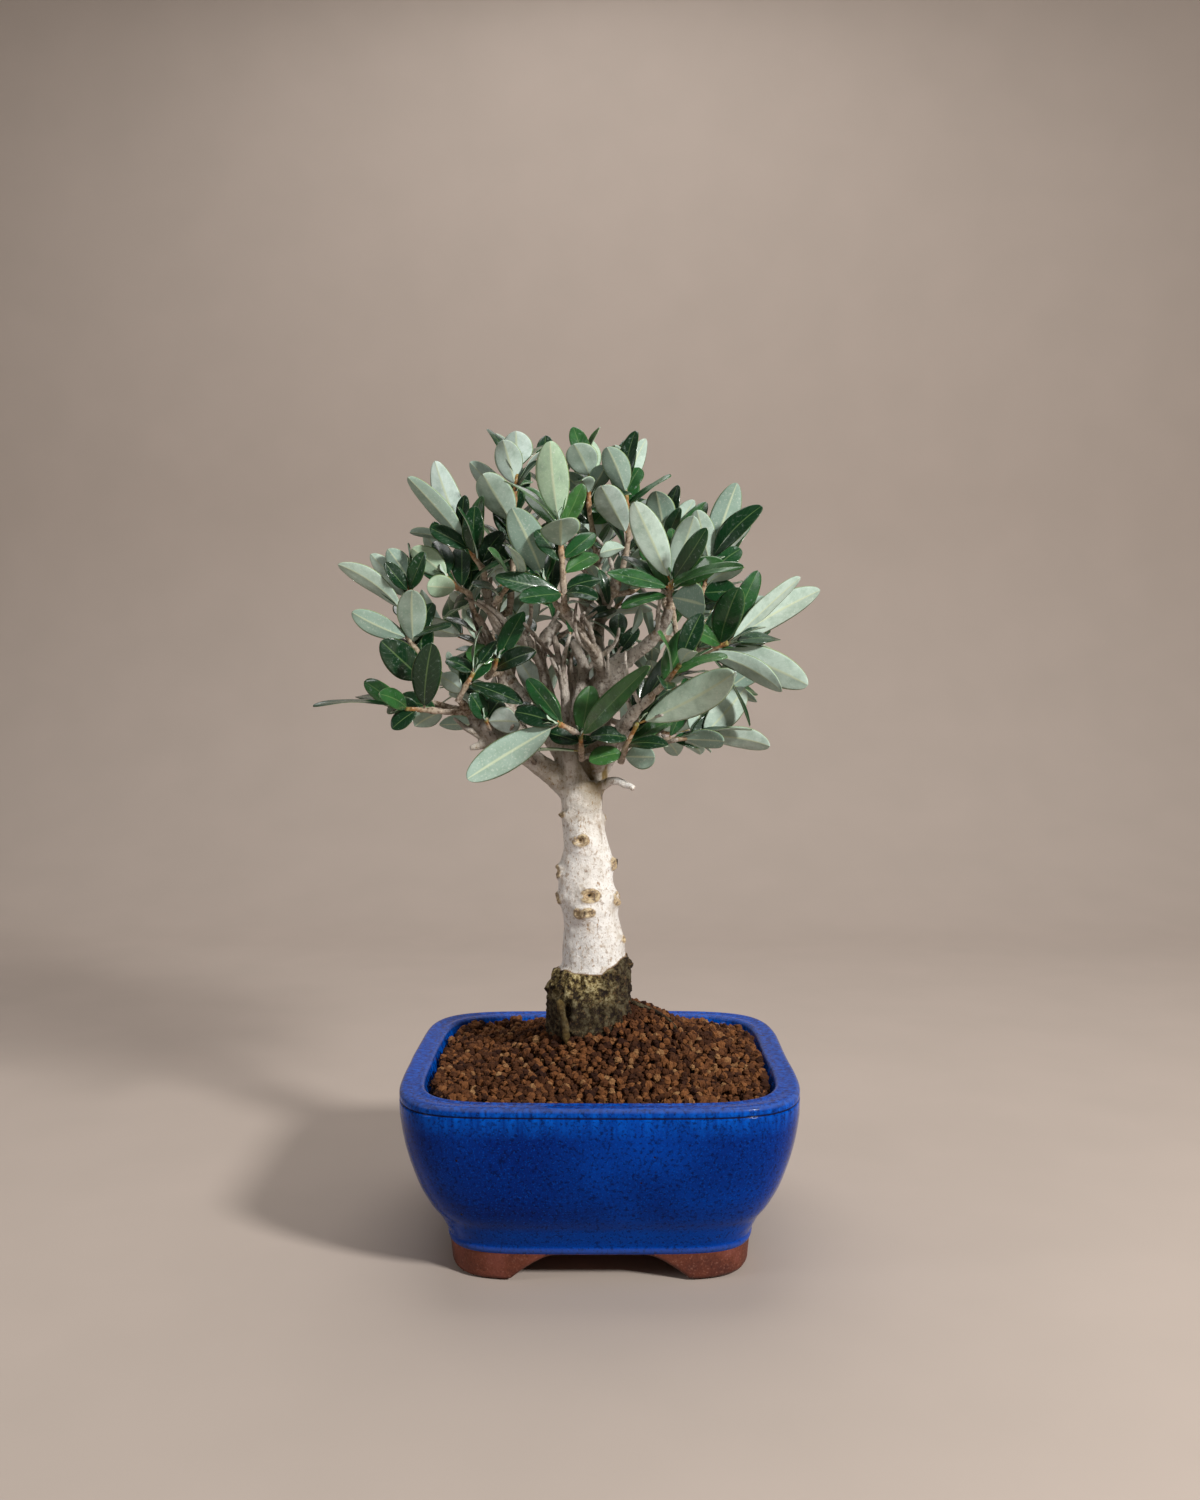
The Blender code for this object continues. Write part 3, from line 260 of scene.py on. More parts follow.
STUBS = {
    "stub_right": [(592, 792, -2, 4.0), (612, 781, -8, 2.8), (626, 785, -11, 2.4), (634, 788, -13, 1.9)],
    "stub_low_left": [(500, 742, -9, 3.4), (484, 745, -12, 2.8), (470, 748, -14, 1.8)],
    "stub_peeled": [(484, 738, -11, 2.6), (466, 728, -15, 2.2), (453, 717, -17, 1.4)],
    "stub_inner": [(541, 668, 0, 2.6), (533, 650, -7, 2.2), (528, 636, -10, 1.8)],
}

# Shoots of the front: stem places (across, down, depth), then leaves (place along the stem from 0 to 1, the
# tip's three, the width in mm, and the turn from the front: 0 shows the upper face, 90 the edge, and 180 the
# under face)
SHOOTS = {
    "left_low": ([(449, 712, -13), (425, 710, -15), (405, 709, -16)], [
        (1.0, 313, 706, -26, 8, 78), (.95, 356, 697, -4, 8, 65), (.95, 379, 694, -32, 8, 25),
        (.7, 392, 729, -18, 8, 30), (.12, 415, 726, -8, 10, 150), (.55, 432, 643, -30, 11.5, 8)]),
    "left_up": ([(431, 703, -4), (424, 680, -9), (419, 655, -13), (410, 640, -14), (404, 612, -10),
                 (409, 590, -8), (410, 570, -8)], [
        (.18, 381, 641, -24, 13, 8), (.5, 352, 612, -24, 9, 170), (.44, 412, 590, -28, 11.5, 175),
        (.7, 338, 564, -18, 9, 150), (.7, 350, 563, -4, 7, 48), (.8, 371, 554, 2, 8.5, 170),
        (.93, 388, 549, -4, 9, 175), (.85, 385, 563, -14, 7, 30), (1.0, 408, 543, -6, 4, 80),
        (.85, 425, 552, -16, 8, 35), (.5, 452, 625, -22, 6, 60), (.42, 433, 603, -6, 8, 25)]),
    "left_twig": ([(459, 700, -15), (466, 686, -16), (474, 672, -17)], [
        (.6, 523, 704, -24, 8.5, 42), (.6, 489, 660, -10, 9, 30), (1.0, 482, 626, -19, 4, 80),
        (.95, 446, 660, -14, 8, 42), (.3, 440, 676, -8, 8, 160), (.3, 492, 696, -6, 8, 25)]),
    "left_fork": ([(490, 727, -17), (486, 720, -19)], [
        (.8, 519, 722, -26, 11, 160), (1.0, 470, 694, -24, 9, 30), (1.0, 500, 700, -12, 9, 20)]),
    "left_outer_tip": ([(488, 676, -3), (494, 668, -9), (497, 658, -12)], [
        (.3, 536, 651, -20, 8, 25), (.9, 466, 652, -16, 9, 20), (1.0, 506, 640, -4, 8, 160)]),
    "left_middle": ([(472, 606, -6), (469, 594, -8), (458, 588, -9), (447, 577, -9)], [
        (.62, 427, 586, -14, 10, 155), (.95, 412, 548, -12, 10, 168), (1.0, 437, 541, -3, 9, 30),
        (.5, 462, 545, -2, 9, 22), (.78, 424, 567, 2, 8, 160), (.35, 500, 562, -18, 6, 78),
        (.0, 443, 619, -10, 5, 82), (.1, 455, 604, 4, 8, 30)]),
    "left_top": ([(487, 580, -5), (483, 570, -8), (474, 557, -10), (469, 546, -11)], [
        (.95, 408, 477, -18, 9.5, 145), (.9, 430, 528, -16, 8, 30), (.95, 410, 532, 0, 7, 125),
        (1.0, 435, 461, 2, 11, 178), (.7, 475, 506, -16, 9, 15), (.5, 458, 507, -22, 6, 80),
        (.4, 503, 532, -6, 9, 30), (.3, 450, 562, 4, 8, 20)]),
    "upper_left": ([(509, 612, 2), (513, 570, 4), (513, 528, 2), (515, 492, 0), (518, 466, 2)], [
        (.6, 483, 474, -12, 14, 160), (.85, 503, 440, -6, 11, 178), (1.0, 516, 431, 4, 13, 172),
        (.72, 470, 462, 8, 9, 160), (.9, 487, 429, 10, 7, 60), (.95, 493, 434, 15, 6, 150),
        (.8, 538, 461, -4, 6, 65), (.85, 533, 482, 4, 5, 70), (.62, 527, 470, 9, 9, 20),
        (.45, 498, 500, 8, 9, 15), (.3, 530, 545, 10, 9, 15), (.3, 490, 548, 8, 9, 20)]),
    "centre_left": ([(556, 604, -20), (550, 592, -22), (545, 582, -24)], [
        (1.0, 512, 508, -30, 13.5, 172), (.9, 555, 545, -20, 7, 40), (.6, 528, 560, -12, 8, 20)]),
    "centre": ([(564, 598, -26), (562, 560, -29), (559, 522, -30)], [
        (1.0, 550, 441, -38, 12.5, 178), (.66, 561, 519, -48, 15, 170), (.06, 495, 577, -34, 8.5, 22),
        (.04, 519, 599, -38, 8.5, 35), (.04, 598, 599, -34, 7, 40), (.1, 601, 580, -24, 8, 40),
        (.95, 504, 481, -26, 7, 75), (.85, 583, 484, -24, 8, 20), (.9, 525, 488, -14, 8, 25),
        (.5, 594, 533, -22, 8.5, 35), (.3, 598, 556, -18, 8, 28), (.45, 536, 530, -20, 9, 30)]),
    "top_middle": ([(600, 578, 14), (594, 540, 12), (589, 505, 8), (590, 472, 6)], [
        (.95, 574, 444, 0, 13, 168), (1.0, 573, 427, 9, 8, 20), (1.0, 600, 427, 6, 6, 70),
        (.8, 582, 480, -4, 9, 160), (.65, 631, 494, -10, 6, 75), (.75, 562, 474, 12, 8, 160),
        (1.0, 592, 440, 13, 9, 160), (.5, 568, 500, 10, 9, 20), (.5, 608, 508, 14, 9, 15),
        (.8, 606, 466, -2, 8, 170)]),
    "top_right": ([(622, 572, 8), (628, 540, 4), (627, 510, 0), (626, 490, 0)], [
        (1.0, 636, 431, 3, 9, 35), (1.0, 646, 439, 10, 8, 168), (.95, 640, 468, 4, 8, 25),
        (.95, 607, 447, -4, 10.5, 172), (.8, 671, 475, -4, 7, 72), (.45, 601, 486, -14, 12, 172),
        (.7, 645, 500, 9, 9, 20), (.3, 600, 553, -6, 7, 155)]),
    "right_top": ([(669, 600, -20), (670, 591, -21), (671, 582, -22)], [
        (1.0, 634, 502, -32, 12, 178), (1.0, 694, 516, -28, 11, 178), (.6, 607, 573, -26, 8, 38),
        (.1, 621, 608, -20, 7, 48), (1.0, 707, 528, -38, 8, 12), (.9, 723, 562, -42, 10, 25),
        (.5, 744, 567, -48, 7, 62), (.02, 705, 605, -42, 14.5, 172), (.3, 650, 545, -10, 9, 20)]),
    "right_behind": ([(664, 596, 2), (670, 570, 4), (665, 540, 4)], [
        (1.0, 656, 491, 0, 12, 170), (.95, 678, 485, 6, 9, 38), (.9, 681, 508, -4, 8, 42),
        (.75, 694, 500, 9, 9, 160), (.6, 706, 502, 14, 9, 20), (.5, 640, 548, 6, 9, 20)]),
    "right_middle": ([(678, 640, -2), (694, 612, -3), (706, 582, -3), (711, 560, -3)], [
        (.95, 697, 510, -8, 10, 175), (1.0, 737, 483, 0, 11.5, 176), (1.0, 762, 506, -10, 9.5, 25),
        (.8, 741, 549, -2, 10, 28), (.7, 742, 567, -14, 8, 150), (.6, 737, 592, -6, 10, 22),
        (.4, 722, 600, 8, 9, 20), (.4, 672, 592, 10, 9, 25)]),
    "far_right": ([(684, 651, -11), (705, 651, -15), (717, 647, -17), (729, 643, -18)], [
        (.8, 739, 587, -34, 11.5, 10), (.6, 766, 597, -6, 12.5, 176), (1.0, 766, 627, -24, 5, 78),
        (.9, 758, 571, 8, 9, 15), (1.0, 800, 577, -12, 8.5, 140), (1.0, 820, 590, -4, 12, 160),
        (.62, 808, 685, -22, 13.5, 172), (.4, 782, 691, -32, 9, 158), (.5, 750, 726, -14, 5, 80),
        (.85, 688, 629, -26, 8, 30), (.3, 702, 628, 0, 10, 175)]),
    "low_middle": ([(582, 758, -14), (581, 747, -19), (581, 736, -24)], [
        (.9, 590, 686, -32, 10, 15), (1.0, 650, 666, -50, 8.5, 20), (.3, 489, 760, -22, 6, 80),
        (.7, 549, 733, -22, 8, 30), (.5, 612, 728, -14, 8, 30)]),
    "low_middle_fork": ([(573, 731, -27), (566, 727, -29), (558, 724, -30)], [
        (1.0, 467, 779, -38, 13, 176), (.8, 515, 712, -26, 9.5, 28), (.9, 540, 690, -20, 8, 25)]),
    "low_right": ([(621, 760, -15), (625, 749, -18), (630, 738, -21), (638, 722, -24)], [
        (1.0, 694, 638, -40, 10.5, 42), (.95, 734, 673, -46, 14, 176), (.9, 712, 648, -28, 6, 72),
        (.55, 590, 737, -26, 8, 35), (.2, 589, 761, -20, 9, 32), (.4, 668, 746, -30, 8, 48),
        (.1, 655, 757, -22, 10, 175), (.65, 640, 697, -16, 9, 20), (.85, 622, 704, -20, 8, 160)]),
    "right_low": ([(652, 742, -8), (670, 740, -10), (690, 738, -12), (706, 736, -12)], [
        (.3, 752, 730, -20, 7, 80), (1.0, 770, 746, -17, 9.5, 158), (.5, 724, 741, -24, 8.5, 150),
        (.6, 701, 754, -6, 8, 140), (.9, 745, 688, -8, 12, 174), (.8, 706, 700, -2, 9.5, 168),
        (.2, 678, 755, -4, 8, 160)]),
}

# Shoots of the back and the sides, whose leaves all follow the rule: stem places (across, down, depth)
BACK_SHOOTS = [
    [(488, 632, 39), (474, 612, 36), (458, 590, 32), (446, 566, 28)],
    [(492, 650, 43), (470, 640, 49), (446, 630, 52)],
    [(496, 645, 41), (500, 600, 37), (498, 560, 30)],
    [(512, 690, 39), (480, 690, 46), (452, 686, 49)],
    [(512, 676, 41), (516, 640, 49), (520, 600, 56)],
    [(586, 574, 38), (570, 540, 34), (556, 505, 29), (550, 478, 26)],
    [(592, 574, 38), (606, 540, 33), (616, 500, 28), (620, 470, 26)],
    [(590, 600, 38), (588, 560, 49), (586, 520, 54)],
    [(580, 640, 34), (556, 610, 44), (536, 575, 51)],
    [(588, 640, 36), (614, 610, 46), (636, 575, 52)],
    [(692, 644, 43), (706, 618, 40), (716, 590, 34), (722, 560, 28)],
    [(688, 656, 43), (714, 650, 49), (742, 640, 51)],
    [(680, 664, 41), (674, 620, 38), (668, 575, 33), (660, 540, 30)],
    [(664, 690, 41), (696, 694, 48), (726, 690, 51)],
    [(650, 700, 38), (650, 670, 49), (652, 640, 57)],
    [(610, 720, 30), (612, 700, 43), (616, 680, 52)],
    [(560, 722, 28), (548, 706, 41), (540, 690, 51)],
    [(524, 716, 25), (506, 724, 33), (484, 726, 38)],
    [(640, 722, 25), (664, 732, 31), (690, 732, 34)],
    [(654, 694, -36), (668, 680, -44), (680, 664, -50)],
    [(488, 610, -2), (505, 590, -16), (520, 574, -26)],
    [(607, 596, 10), (634, 590, 14), (648, 578, 18)],
]

# The crown's outline in the front view: no leaf that follows the rule is seen outside it, or lies deeper than
# the crown's depth in mm
CROWN_OUTLINE = [
    (345, 700), (350, 620), (372, 562), (420, 540), (430, 490), (460, 470), (495, 435), (560, 428),
    (640, 436), (672, 478), (735, 488), (765, 515), (812, 592), (800, 640), (805, 685), (765, 745),
    (700, 755), (640, 768), (560, 765), (500, 745), (440, 730),
]
CROWN_DEPTH = 73.0

# Leaf: places along the blade with the share of the full width there, and how it bends
LEAF_STATIONS = [(.16, .24), (.52, 1.0), (.87, .68)]
LEAF_THICKNESS = 1.0
LEAF_FOLD = .16
LEAF_ARCH = .07
LEAF_CLEARANCE = .42
LEAF_ROOT = .3  # leaves of one shoot may meet in this share of their length, where they grow together
MEETING_GROWTH = .1
LEAF_SHORTEST = 14.0
LEAF_LONGEST = 27.0
LEAF_SLENDERNESS = .40
LEAF_SIZES = (.75, 1.0)  # the pairs' sizes vary by this much, then each leaf's length and slenderness
LEAF_LENGTHS = (.85, 1.1)
LEAF_WIDTHS = (.85, 1.15)
TIP_LEAF_SIZE = .85
PAIR_SPACING = 11.5
FIRST_PAIR = .22  # share of the stem below the first pair
SPLAY_LOW, SPLAY_CHANGE, SPLAY_VARIES = 62.0, -30.0, 8.0  # degrees from the stem
LEAF_LIFT = .18  # leaves bend up by this much
FACE_LIFT = .5  # and turn their upper face up by this much
STEM_BASE_RADIUS = 1.25
STEM_TIP_RADIUS = .75
STEM_SIDES = 4
SPUR_THICKER = 1.3  # a spur's radius in its limb, as a share of the stem's
SPUR_LIMB_SHARE = .6  # and at most this share of the limb's radius
SPUR_SHORTEST = 2.5  # how far a spur stands out of its limb at least
BACKWARDS = .1  # a front shoot's ruled leaves point back at least this much
SEED = 11
TRUNK_SIDES = 11
LIMB_SIDES = 5
# How a leaf may be moved clear of its neighbours: its tip along the line of sight in mm, its turn in degrees
SWINGS_DEEP = ((0, 0), (4, 0), (-4, 0), (0, 16), (0, -16), (8, 0), (-8, 0), (5, 20), (-5, -20), (12, 0),
               (-12, 0), (10, 20), (-10, -20), (17, 0), (-17, 0), (23, 0), (14, 35), (-14, -35), (-23, 0))
# and round its stem and away from it, in degrees
SWINGS_ROUND = ((0, 0), (18, 0), (-18, 0), (0, 15), (36, 0), (-36, 0), (0, -15), (55, 10), (-55, 10), (80, 0))


# The placing rule, which is the model's own: where stems and leaves stand


def unit(v):
    return v / np.linalg.norm(v)


def place(across, down, depth):
    """The point in mm at a place of the front view: the line of sight through it, followed to its depth."""
    eye = np.array(VIEW_POINT)
    side = (across - VIEW_MIDDLE[0]) / VIEW_SCALE
    rise = (VIEW_MIDDLE[1] - down) / VIEW_SCALE
    c, s = math.cos(VIEW_TILT), math.sin(VIEW_TILT)
    line = np.array([side, c + rise * s, rise * c - s])
    return eye + line * (depth - VIEW_POINT[1]) / line[1]


def places(rows):
    return np.array([place(*row[:3]) for row in rows])


def rounded_square(half, segments, squareness=POT_SQUARENESS):
    """Points of |x|^n + |y|^n = half^n, evenly spaced along it."""
    t = np.linspace(0, 2 * math.pi, 2881)
    c, s = np.cos(t), np.sin(t)
    x = half * np.sign(c) * np.abs(c) ** (2 / squareness)
    y = half * np.sign(s) * np.abs(s) ** (2 / squareness)
    run = np.concatenate([[0], np.cumsum(np.hypot(np.diff(x), np.diff(y)))])
    want = np.linspace(0, run[-1], segments, endpoint=False)
    return np.stack([np.interp(want, run, x), np.interp(want, run, y)], 1)


def rings_to_solid(rings):
    """Closes rings of equal length, one above the other from the outside round to the inside."""
    count = len(rings[0])
    points = np.concatenate(rings)
    faces = []
    for k in range(len(rings) - 1):
        for i in range(count):
            j = (i + 1) % count
            faces.append((k * count + i, k * count + j, (k + 1) * count + j, (k + 1) * count + i))
    faces.append(tuple(range(count - 1, -1, -1)))
    last = (len(rings) - 1) * count
    faces.append(tuple(range(last, last + count)))
    return points, faces


def level(outline, height):
    return np.column_stack([outline, np.full(len(outline), height)])


def soil_height(x, y):
    """The bed is level at the pot's wall and mounds up to the trunk."""
    away = np.hypot(x - SOIL_MOUND_MIDDLE[0], y - SOIL_MOUND_MIDDLE[1]) / SOIL_MOUND_SPREAD
    return SOIL_EDGE_HEIGHT + SOIL_MOUND_HEIGHT * np.exp(-away ** 2 / 2)


def tube(points, radii, sides, start=None, stop=None):
    """A closed tube along the points, with each ring square to the bend there."""
    points = np.asarray(points, float)
    steps = np.diff(points, axis=0)
    steps = steps / np.linalg.norm(steps, axis=1)[:, None]
    heads = np.vstack([steps[:1], steps[:-1] + steps[1:], steps[-1:]])
    if start is not None:
        heads[0] = start
    if stop is not None:
        heads[-1] = stop
    heads = heads / np.linalg.norm(heads, axis=1)[:, None]
    side = unit(np.cross(heads[0], (.31, .86, .17)))
    rings = []
    angle = np.linspace(0, 2 * math.pi, sides, endpoint=False)
    for point, head, radius in zip(points, heads, radii):
        side = unit(side - head * np.dot(side, head))
        up = np.cross(head, side)
        rings.append(point + radius * (np.outer(np.cos(angle), side) + np.outer(np.sin(angle), up)))
    return rings_to_solid(rings)


def along(points, share):
    """The point and the direction at a share of a line's length."""
    steps = np.diff(points, axis=0)
    lengths = np.linalg.norm(steps, axis=1)
    run = np.concatenate([[0], np.cumsum(lengths)])
    at = share * run[-1]
    k = min(int(np.searchsorted(run, at, side="right")) - 1, len(steps) - 1)
    k = max(k, 0)
    return points[k] + steps[k] * (at - run[k]) / lengths[k], steps[k] / lengths[k]


def nearest_on_limbs(point):
    """The nearest point of the limbs' middle lines, and the limb's radius there."""
    best = None
    for rows in LIMBS.values():
        line, radii = places(rows), [row[3] for row in rows]
        for k in range(len(line) - 1):
            step = line[k + 1] - line[k]
            t = float(np.clip(np.dot(point - line[k], step) / np.dot(step, step), 0, 1))
            near = line[k] + step * t
            far = float(np.linalg.norm(point - near))
            if best is None or far < best[0]:
                best = (far, near, radii[k] + (radii[k + 1] - radii[k]) * t)
    return best[1], best[2]


def spur_and_stem(stem):
    """Splits a shoot at its first place: a spur from the limb, and the stem 0.3 mm past the spur's end."""
    start, limb_radius = nearest_on_limbs(stem[0])
    clear = limb_radius + SPUR_SHORTEST
    if np.linalg.norm(stem[0] - start) < clear:
        stem = stem.copy()
        stem[0] = start + unit(stem[1] - start) * clear
    lead = unit(stem[0] - start)
    cut = unit(lead + unit(stem[1] - stem[0]))
    root_radius = min(limb_radius * SPUR_LIMB_SHARE, STEM_BASE_RADIUS * SPUR_THICKER)
    spur = tube([start, stem[0]], [root_radius, STEM_BASE_RADIUS], STEM_SIDES, stop=cut)
    line = stem.copy()
    line[0] = stem[0] + cut * GAP
    radii = np.linspace(STEM_BASE_RADIUS, STEM_TIP_RADIUS, len(line))
    return spur, line, tube(line, radii, STEM_SIDES, start=cut), (start, stem[0], root_radius)


def blade(base, tip, normal, width, grow=0.0, start=0.0):
    """A leaf: an arched blade with a keel under its middle, pointed at both ends.

    At a share t of its length it lies on base + t * (tip - base), raised along the normal by the arch
    4 t (1 - t), and its edges are raised by the fold. grow thickens it all round, for the clearance test.
    """
    axis = tip - base
    length = np.linalg.norm(axis)
    axis = axis / length
    normal = unit(normal - axis * np.dot(normal, axis))
    side = np.cross(axis, normal)
    arch = LEAF_ARCH * length
    half_thick = LEAF_THICKNESS / 2 + grow
    points = [base + axis * (length * start - grow)]
    for t, share in LEAF_STATIONS:
        t = max(t, start)
        middle = base + axis * length * t + normal * arch * 4 * t * (1 - t)
        half = width / 2 * share + grow
        lift = normal * LEAF_FOLD * half
        points += [middle - side * half + lift, middle + side * half + lift, middle - normal * half_thick]
    points.append(tip + axis * grow)
    last = len(points) - 1
    faces = []
    for i in range(3):
        j = (i + 1) % 3
        faces.append((0, 1 + i, 1 + j))
        for k in range(len(LEAF_STATIONS) - 1):
            a, b = 1 + 3 * k, 4 + 3 * k
            faces.append((a + i, b + i, b + j))
            faces.append((a + i, b + j, a + j))
        faces.append((last, last - 3 + j, last - 3 + i))
    return np.array(points), faces


def tree(shape):
    points, faces = shape
    return BVHTree.FromPolygons([tuple(p) for p in points], [tuple(f) for f in faces])


def bounds(points):
    points = np.asarray(points)
    return points.min(axis=0), points.max(axis=0)


def seen_inside_outline(point):
    """Whether the front view shows the point inside the crown's outline.

    A level line from the point then crosses an odd number of the outline's sides.
    """
    line = point - np.array(VIEW_POINT)
    c, s = math.cos(VIEW_TILT), math.sin(VIEW_TILT)
    ahead, rise = line[1] * c - line[2] * s, line[2] * c + line[1] * s
    x = VIEW_MIDDLE[0] + VIEW_SCALE * line[0] / ahead
    y = VIEW_MIDDLE[1] - VIEW_SCALE * rise / ahead
    inside = False
    for (x0, y0), (x1, y1) in zip(CROWN_OUTLINE, CROWN_OUTLINE[1:] + CROWN_OUTLINE[:1]):
        if (y0 > y) != (y1 > y) and x < x0 + (x1 - x0) * (y - y0) / (y1 - y0):
            inside = not inside
    return inside


class Crown:
    """Keeps what is already placed, and says whether a new leaf would touch it."""

    def __init__(self):
        self.solids = []

    def add(self, shape, owner, outer=None):
        """outer is the part of a leaf that the leaves of its own shoot also stay clear of."""
        self.solids.append((owner, tree(shape), bounds(shape[0]), tree(outer) if outer else None))

    def free(self, whole, outer, owner):
        low, high = bounds(whole[0])
        whole_tree, outer_tree = tree(whole), tree(outer)
        for other, solid, (a, b), solid_outer in self.solids:
            if np.any(low > b) or np.any(high < a):
                continue
            if other != owner:
                if whole_tree.overlap(solid):
                    return False
            elif solid_outer is not None and outer_tree.overlap(solid_outer):
                return False
        return True

    def try_leaf(self, owner, base, tip, normal, width):
        """The leaf's places and width where it has room, or None."""
        whole = blade(base, tip, normal, width, grow=LEAF_CLEARANCE)
        outer = blade(base, tip, normal, width, grow=MEETING_GROWTH, start=LEAF_ROOT)
        if not self.free(whole, outer, owner):
            return None
        self.add(blade(base, tip, normal, width), owner, blade(base, tip, normal, width, start=LEAF_ROOT))
        return base, tip, normal, width


def seen_normal(base, tip, turn):
    """The upper face's direction: turned round the leaf from square to the view, to the side that is up."""
    axis = unit(tip - base)
    look = np.array(VIEW_POINT) - (base + tip) / 2
    front = unit(look - axis * np.dot(look, axis))
    side = np.cross(axis, front)
    c, s = math.cos(math.radians(turn)), math.sin(math.radians(turn))
    one, other = front * c + side * s, front * c - side * s
    return one if one[2] >= other[2] else other


def place_seen_leaves(crown, name, stem, rows):
    """The leaves that the front view shows. One that meets a neighbour swings along the line of sight."""
    leaves = []
    for share, across, down, depth, width, turn in rows:
        base = along(stem, min(max(share, .03), .985))[0]
        for swing, more_turn in SWINGS_DEEP:
            tip = place(across, down, depth + swing)
            leaf = crown.try_leaf(name, base, tip, seen_normal(base, tip, turn + more_turn), width)
            if leaf is not None:
                leaves.append(leaf)
                break
    return leaves


def place_ruled_leaves(crown, name, stem, rng, only_back):
    """Opposite pairs up the stem, each a quarter turn on from the last."""
    leaves = []
    length = float(np.linalg.norm(np.diff(stem, axis=0), axis=1).sum())
    pairs = max(2, int(length / PAIR_SPACING))
    first = rng.uniform(0, math.pi)
    for k in range(pairs + 1):
        share = min(FIRST_PAIR + (1 - FIRST_PAIR) * k / pairs, .98)
        base, head = along(stem, share)
        side = unit(np.cross(head, (.2, .9, .1)))
        up = np.cross(head, side)
        size = rng.uniform(*LEAF_SIZES) * LEAF_LONGEST * (1 if k < pairs else TIP_LEAF_SIZE)
        splay = SPLAY_LOW + SPLAY_CHANGE * share + rng.uniform(-SPLAY_VARIES, SPLAY_VARIES)
        for half_turn in (0, 1):
            span = max(size * rng.uniform(*LEAF_LENGTHS), LEAF_SHORTEST)
            width = span * LEAF_SLENDERNESS * rng.uniform(*LEAF_WIDTHS)
            for round_by, splay_by in SWINGS_ROUND:
                angle = first + math.pi / 2 * k + math.pi * half_turn + math.radians(round_by)
                tilt = math.radians(splay + splay_by)
                out = side * math.cos(angle) + up * math.sin(angle)
                axis = unit(head * math.cos(tilt) + out * math.sin(tilt) + np.array([0, 0, LEAF_LIFT]))
                if only_back and axis[1] < BACKWARDS:
                    continue
                tip = base + axis * span
                if abs(tip[1]) > CROWN_DEPTH or not seen_inside_outline(tip):
                    continue
                leaf = crown.try_leaf(name, base, tip, head + np.array([0, 0, FACE_LIFT]), width)
                if leaf is not None:
                    leaves.append(leaf)
                    break
    return leaves


def trunk_shapes():
    """The trunk with its root plug, its limbs and stubs, as closed tubes that overlap."""
    foot = place(*TRUNK[0][:3])
    plug = tube([(foot[0], foot[1], PLUG_BOTTOM), foot], [PLUG_RADIUS * PLUG_TAPER, PLUG_RADIUS], TRUNK_SIDES,
                start=(0, 0, 1), stop=(0, 0, 1))
    line = places(TRUNK)
    line[0, 2] -= TRUNK_SUNK
    shapes = [plug, tube(line, [row[3] for row in TRUNK], TRUNK_SIDES, start=(0, 0, 1))]
    for rows in list(LIMBS.values()) + list(STUBS.values()):
        shapes.append(tube(places(rows), [row[3] for row in rows], LIMB_SIDES))
    return shapes


# Shapes

NOISE_CELLS = 32


def noise(points, size, seed=0):
    """Smooth value noise from -1 to 1.

    Random numbers on a cubic lattice of the given size in mm are blended between the eight corners round each
    point with the ease curve t t (3 - 2 t). The lattice repeats after NOISE_CELLS cells.
    """
    table = np.random.default_rng(seed).uniform(-1, 1, (NOISE_CELLS,) * 3)
    p = np.asarray(points, float) / size
    cell = np.floor(p).astype(int)
    t = p - cell
    t = t * t * (3 - 2 * t)
    total = np.zeros(p.shape[:-1])
    for i in (0, 1):
        for j in (0, 1):
            for k in (0, 1):
                corner = (cell + (i, j, k)) % NOISE_CELLS
                share = np.abs(1 - i - t[..., 0]) * np.abs(1 - j - t[..., 1]) * np.abs(1 - k - t[..., 2])
                total += share * table[corner[..., 0], corner[..., 1], corner[..., 2]]
    return total


def layered(points, rows):
    """The sum of several noises, one for each row of a relief table."""
    return sum(weight * noise(points * (1, 1, denser), size, seed) for weight, denser, size, seed in rows)


def smooth(points, count):
    """A Catmull-Rom curve through the points, read at evenly spaced parameters.

    Columns past the third, such as radii, are carried along with the places.
    """
    p = np.asarray(points, float)
    ext = np.vstack([2 * p[0] - p[1], p, 2 * p[-1] - p[-2]])
    u = np.linspace(0, len(p) - 1, count)
    k = np.minimum(u.astype(int), len(p) - 2)
    t = (u - k)[:, None]
    a, b, c, d = ext[k], ext[k + 1], ext[k + 2], ext[k + 3]
    second, third = 2 * a - 5 * b + 4 * c - d, 3 * b - a - 3 * c + d
    return .5 * (2 * b + (c - a) * t + second * t ** 2 + third * t ** 3)


def skin(rings):
    """Quads between rings of equal length, and a fan of triangles to a middle point at each end.

    rings has the shape (rings, points, 3). The end points are the means of the first and the last ring.
    """
    rows, count, _ = rings.shape
    k, i = np.meshgrid(np.arange(rows - 1) * count, np.arange(count), indexing="ij")
    j = (i + 1) % count
    quads = np.stack([k + i, k + j, k + count + j, k + count + i], -1).reshape(-1, 4)
    i, j = i[0], j[0]
    end = (rows - 1) * count
    first = np.stack([np.full(count, rows * count), j, i], 1)
    last = np.stack([np.full(count, rows * count + 1), end + i, end + j], 1)
    points = np.vstack([rings.reshape(-1, 3), rings[0].mean(0), rings[-1].mean(0)])
    return points, quads, np.vstack([first, last])


def copies(points, quads, fans):
    """One shape from many with the same faces: points has the shape (copies, points, 3)."""
    starts = (np.arange(len(points)) * points.shape[1])[:, None, None]
    return points.reshape(-1, 3), (quads[None] + starts).reshape(-1, 4), (fans[None] + starts).reshape(-1, 3)


